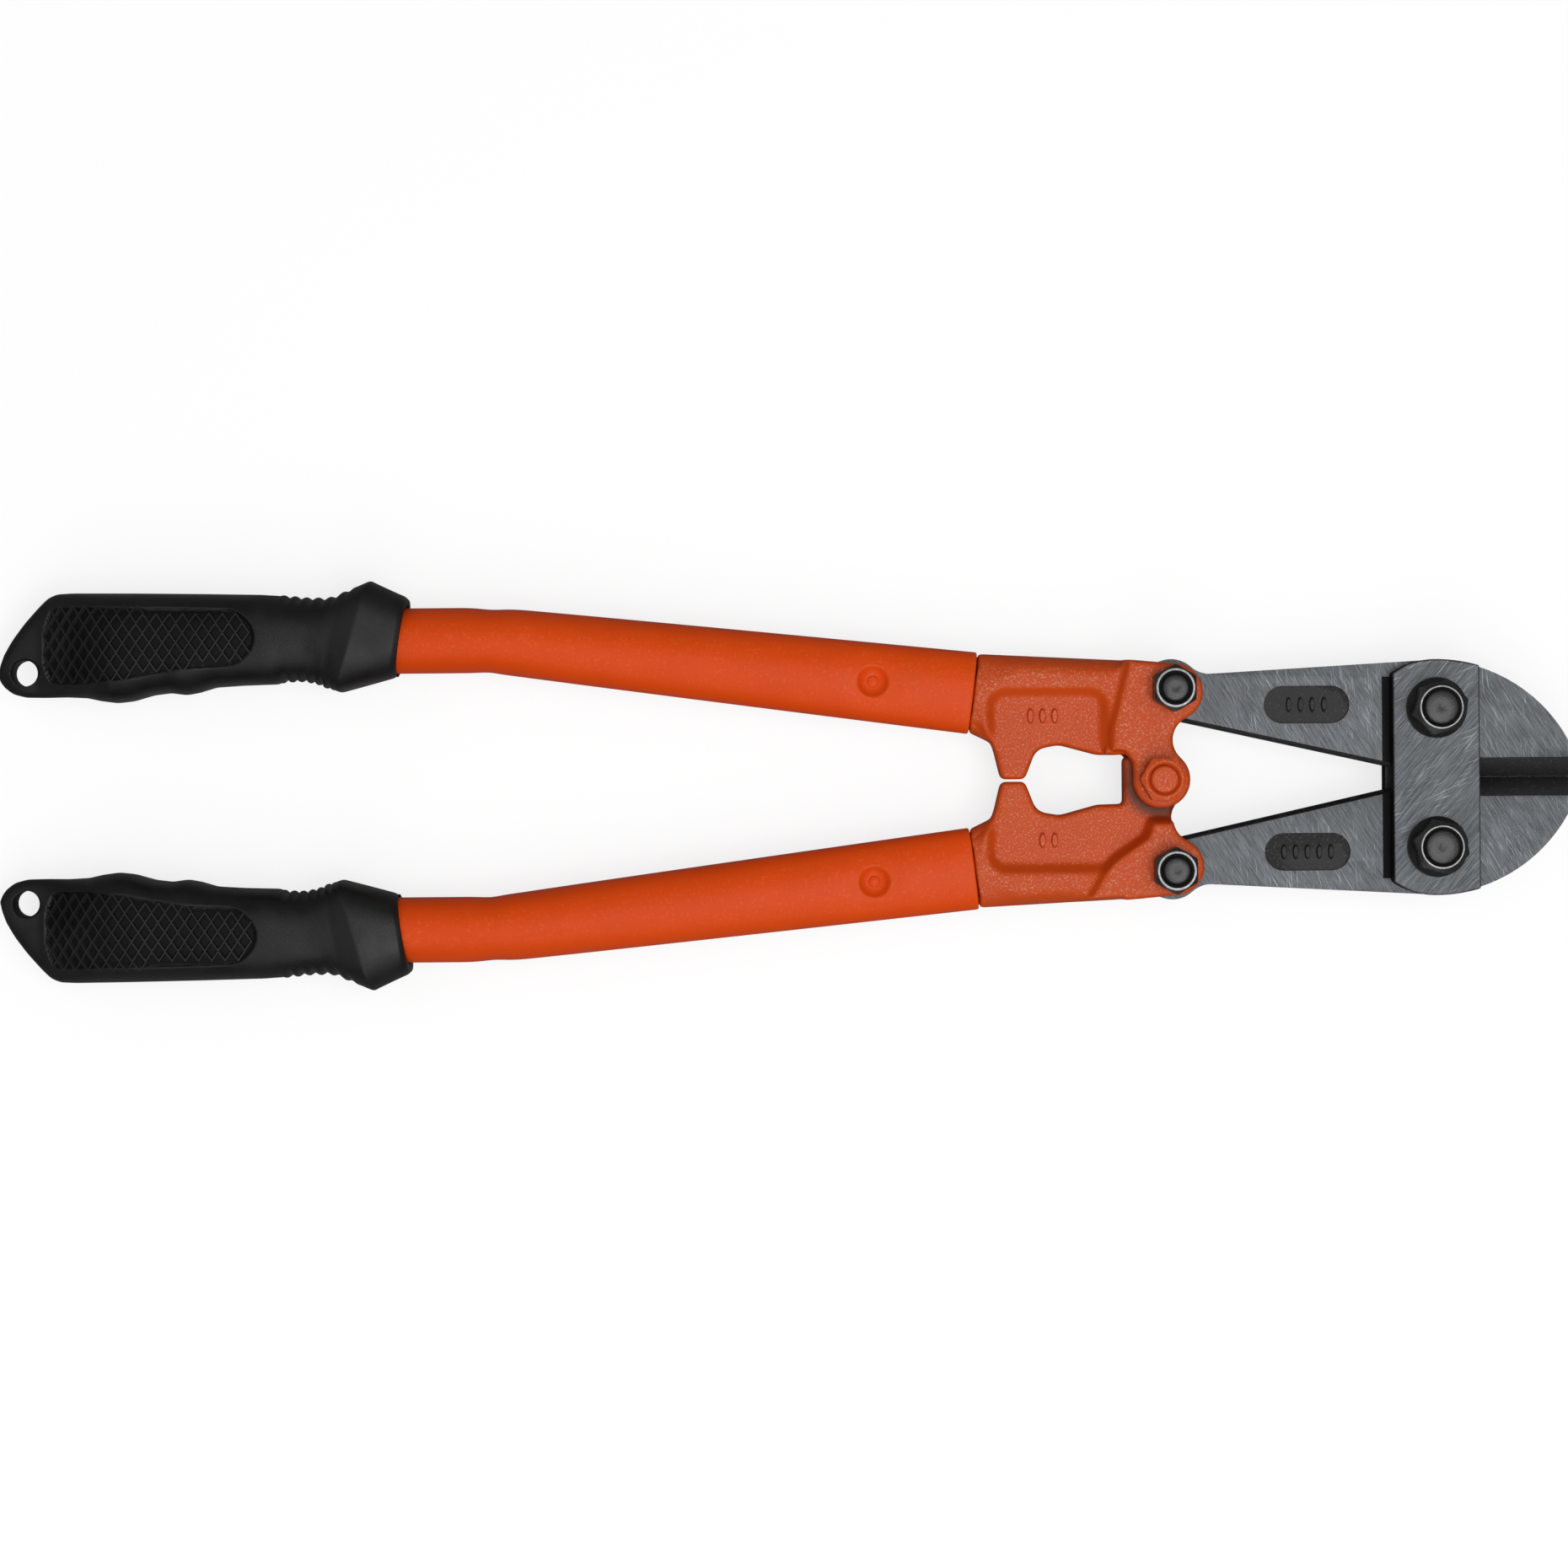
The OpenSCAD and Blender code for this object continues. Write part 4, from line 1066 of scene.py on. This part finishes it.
def castBracket(side, c):
    # gives the pad and the cheeks sloping walls, rounds the beam like the tube, then melts all edges a little
    piece = remeshed(cadCopy(side + "_bracket", side + "Bracket"), c["voxel"])
    points, normals = readPoints(piece.data, "co"), readPoints(piece.data, "normal")
    sign = 1 if side == "upper" else -1
    x, y = points[:, 0] / mm - tool["datum"], sign * points[:, 1] / mm
    z = points[:, 2] / mm - tool["midHeight"]
    up, high = np.sign(z), np.abs(z)

    pad = insideDistance(x, y, roundedOutline(c["pad"][side]))
    cheek = insideDistance(x, y, roundedOutline(c["cheek"][side]))
    level = c["beamHalf"] - (c["beamHalf"] - c["padHalf"]) * ramp(pad, -c["padSlope"] / 2, c["padSlope"] / 2)
    level += (c["cheekHalf"] - level) * ramp(cheek, -c["cheekSlope"] / 2, c["cheekSlope"] / 2)
    facing = normals[:, 2] * up
    steps = np.minimum(np.abs(pad), np.abs(cheek)) < c["nearStep"]
    steps &= (high > c["padHalf"] - 0.15) & (facing > -0.3)
    boxes = [(x > x0) & (x < x1) & (y > y0) & (y < y1) for x0, x1, y0, y1 in c["raised"][side]]
    inside = np.any(boxes, axis=0)
    raised = inside & (steps | ((facing > 0.5) & (high > 3.5)))
    high = np.where(raised, level, np.where(inside, np.minimum(high, level), high))

    # a fillet all along the outer edges, except at the tube's end, the beam's back and under the nuts
    outer = edgeAt(c["outerEdge"], x)
    wall = (np.abs(normals[:, 2]) < 0.6) & (high > level - c["lipDepth"]) & ~(inside & steps)
    wall &= ~((x < c["collarBack"]) & (normals[:, 0] < -0.6)) & ~((x < c["beamEnd"]) & (y > outer - 3))
    for seatX, seatY in (tool["togglePivot"], (tool["centrePivot"], 0)):
        wall &= np.hypot(x - seatX, y - seatY) > c["seat"]
    radius = c["fillet"]
    away = reachTo(np.column_stack((x, y)), wall, radius)
    drop = radius - np.sqrt(radius ** 2 - (radius - away) ** 2)
    high = np.where((facing > 0.6) & (high > level - 0.6), high - drop, high)
    high = np.where(wall, np.minimum(high, level - radius), high)
    z = up * high

    # the outer edge, rounded like the tube at the collar and less along the beam
    reach = c["collarReach"] + (c["beamReach"] - c["collarReach"]) * ramp(x, c["collarBack"], c["beamStart"])
    reach += (c["cheekReach"] - reach) * ramp(cheek, -4, 0)
    section = np.where(inside, level, c["beamHalf"])
    rear, front = c["roundness"]
    power = rear + (front - rear) * ramp(x, c["collarBack"], c["roundEnd"])
    depth, height = roundedCorner(outer - y, z, reach, section, power)
    chosen = (x > c["collarStart"]) & (x < c["beamEnd"]) & (high < section + 0.3) & (y > 24)
    y, z = np.where(chosen, outer - depth, y), np.where(chosen, height, z)

    # the collar's inner edge, which runs out at the stop
    inner = edgeAt(c["innerEdge"], x)
    reach = (c["collarReach"] - 1) * (1 - 0.85 * ramp(x, 54.5, c["collarEnd"]))
    depth, height = roundedCorner(y - inner, z, reach, section, power)
    chosen = (x > c["collarStart"]) & (x < c["collarEnd"]) & (high < section + 0.3) & (y < 26)
    y, z = np.where(chosen, inner + depth, y), np.where(chosen, height, z)

    points[:, 1], points[:, 2] = sign * y * mm, (z + tool["midHeight"]) * mm
    piece.data.vertices.foreach_set("co", points.ravel())
    melted(piece, sign, c)
    piece.data.materials.clear()
    piece.data.materials.append(castOrange)
    smoothShaded(piece)
    return piece


def makeBrackets():
    for side, sign in (("upper", 1), ("lower", -1)):
        place(castBracket(side, bracketShape), side + "_handle", "orange_paint", side + "_bracket")
        row = bracketShape["marks"][side]
        at = pose(row["at"][0], sign * row["at"][1], bracketShape["padHalf"])
        row = dict(bracketShape["mark"], **row)
        makeMarks(side + "BracketMarks", row, at, castOrange, side + "_handle", "orange_paint")


makeBrackets()
print("brackets made")

# ---- blades and side plates

bladeShape = {
    "edge": 0.22, "halfThickness": 4.0, "touching": 0.004,
    "strip": (172.3, 175.6, 29.2),      # a black band on the ground faces along the plates' rear edge, out to the last value
    "pocket": (150.5, 21.3), "pocketFloor": 3.3,
    "mark": {"length": 4.6, "width": 1.7, "height": 1.0, "pitch": 3.4, "turn": 0},
    "markCount": {"upper": 4, "lower": 5},
}
plateShape = {"edge": 0.45}


def paintFaces(piece, materials, choose):
    # gives every face the material whose number choose(x, y, z, normal) returns
    piece.data.materials.clear()
    for material in materials:
        piece.data.materials.append(material)
    for face in piece.data.polygons:
        centre = face.center
        face.material_index = choose(centre.x / mm - tool["datum"], centre.y / mm,
                                     centre.z / mm - tool["midHeight"], face.normal)


def splitAt(piece, point, direction):
    # adds an edge loop where a plane cuts the piece
    editMesh(piece.data, lambda form: bmesh.ops.bisect_plane(
        form, geom=form.verts[:] + form.edges[:] + form.faces[:], plane_co=point, plane_no=direction))


def makeBlade(side, sign, c):
    piece = softEdges(cadCopy(side + "_blade", side + "Blade"), c["edge"] * mm)
    rear, front, out = c["strip"]
    splitAt(piece, pose(rear, 0), (1, 0, 0))
    splitAt(piece, pose(front, 0), (1, 0, 0))
    splitAt(piece, pose(0, sign * out), (0, 1, 0))
    for vertex in piece.data.vertices:
        if abs(vertex.co.y) < 0.2 * mm:
            vertex.co.y = sign * c["touching"] * mm     # the cutting edges all but touch

    def choose(x, y, z, normal):
        ground = abs(normal.z) > 0.99 and abs(z) > c["halfThickness"] - 0.01
        away = math.hypot((x - c["pocket"][0]) / 1.6, abs(y) - c["pocket"][1])
        # the pocket's walls get the black scale colour as painted shade
        shadedPocketWall = abs(normal.z) < 0.9 and away < 8
        if shadedPocketWall or (ground and rear < x < front and abs(y) < out):
            return 2
        return 0 if ground else 1

    paintFaces(piece, (bladeSteel, forgedBlack, scaleBlack), choose)
    place(piece, side + "_blade_body", "steel_blade", side + "_blade")
    row = dict(c["mark"], count=c["markCount"][side])
    at = pose(c["pocket"][0], sign * c["pocket"][1], c["pocketFloor"])
    makeMarks(side + "BladeMarks", row, at, forgedBlack, side + "_blade_body", "steel_blade")


def makeHead():
    for side, sign in (("upper", 1), ("lower", -1)):
        makeBlade(side, sign, bladeShape)
    for side in ("front", "rear"):
        plate = softEdges(cadCopy(side + "_side_plate", side + "SidePlate"), plateShape["edge"] * mm)
        paintFaces(plate, (plateSteel, scaleBlack), lambda x, y, z, normal: 0 if abs(normal.z) > 0.5 else 1)
        place(plate, "head", "steel_plate", side + "_side_plate")


makeHead()
print("blades and side plates made")

# ---- nuts and bolts

fasteners = {
    # sizes in mm; base is the height of the nut's seat above the middle plane, turn is in degrees
    "toggle": {"flats": 12.0, "nut": 6.5, "base": 9.5, "flange": 0, "bolt": 4.0, "end": 16.2, "top": 0.933,
               "recess": 0.95, "headFlats": 12.0, "head": 4.0, "turn": 30},
    "centre": {"flats": 12.0, "nut": 6.0, "base": 9.55, "flange": 0, "bolt": 4.0, "end": 16.1, "top": 0.90,
               "recess": 0.85, "headFlats": 12.0, "head": 4.0, "turn": 0},
    "blade": {"flats": 14.2, "nut": 8.0, "base": 9.6, "flange": 8.75, "bolt": 5.0, "end": 18.0, "top": 0.875,
              "recess": 0.75, "headFlats": 16.0, "head": 4.4, "turn": 15},
}


def nutLevels(c):
    half, base, top, bore = c["flats"] / 2, c["base"], c["base"] + c["nut"], c["bolt"] + 0.05
    wide, corner = half * 1.3, 1.19         # beyond the corners, and where the chamfer meets them
    levels = [(bore, bore, base)]
    if c["flange"]:
        rim = c["flange"]
        slope = rim - 0.3
        levels += [(rim - 0.35, rim - 0.35, base), (rim, rim, base + 0.3), (rim, rim, base + 0.8),
                   (slope, slope, base + 1.1)]
        levels += [(slope + (half - slope) * i / 5, wide, base + 1.1 + 0.34 * i) for i in range(1, 6)]
    else:
        levels += [(0, half * 0.98, base), (0, half * 1.06, base + 0.25), (0, wide, base + 0.7)]
    cut = half * (corner - c["top"]) * 0.55
    levels += [(0, half * (corner + (c["top"] - corner) * i / 8), top - cut + cut * i / 8) for i in range(9)]
    rim, lip = half * c["top"] - 0.12, bore + c["recess"]
    return levels + [(rim, rim, top + 0.03), (lip, lip, top + 0.03),
                     (bore + 0.08, bore + 0.08, top - c["recess"]), (bore, bore, top - c["recess"] - 0.1)]


def boltLevels(c):
    half, under, r, end = c["headFlats"] / 2, -c["base"], c["bolt"], c["end"]
    face = under - c["head"]
    levels = [(0, 0, face + 0.15), (half * 0.45, half * 0.45, face + 0.15), (half * 0.52, half * 0.52, face)]
    levels += [(0, half * (0.93 + 0.26 * i / 6), face + 0.9 * i / 6) for i in range(7)]
    levels += [(0, half * 1.3, under - 0.4), (0, half * 1.05, under), (r, r, under), (r, r, end - 0.9),
               (r - 0.1, r - 0.1, end - 0.6), (r - 0.45, r - 0.45, end - 0.15), (r - 0.8, r - 0.8, end),
               (1.2, 1.2, end), (0.6, 0.6, end - 0.12), (0, 0, end - 0.16)]
    return levels


def makeFastener(kind, at, flip, body, slot, names, materials):
    # a bolt from the back and its nut, whose turned top stays bright if two materials are given
    c = fasteners[kind]
    turn = math.radians(c["turn"])
    for suffix, levels, flats in (("Bolt", boltLevels(c), c["headFlats"]), ("Nut", nutLevels(c), c["flats"])):
        vertices, faces, bands = turned(levels, pose(*at), 96, flats, turn)
        if flip:
            vertices, faces = mirrored(vertices, faces)
        name, node = names
        piece = meshObject(name + suffix, vertices, faces, materials[0])
        if suffix == "Nut" and len(materials) > 1:
            piece.data.materials.append(materials[1])
            bright = (len(levels) - 5, len(levels) - 4)     # the flat ring at the top and its outer edge
            for face, band in zip(piece.data.polygons, bands):
                face.material_index = 1 if band in bright else 0
        piece.data.set_sharp_from_angle(angle=math.radians(26))
        place(piece, body, slot, node + "_" + suffix.lower())


def makeFasteners():
    steels = (blackOxide, turnedSteel)
    for side, flip in (("upper", False), ("lower", True)):
        for kind, name, body in (("toggle", "Toggle", side + "_handle"), ("blade", "Blade", "head")):
            makeFastener(kind, tool[kind + "Pivot"], flip, body, "black_oxide",
                         (side + name, side + "_" + kind), steels)
    makeFastener("centre", (tool["centrePivot"], 0), False, "centre_pin", "orange_paint",
                 ("centre", "centre"), (castOrange,))


makeFasteners()
print("nuts and bolts made")
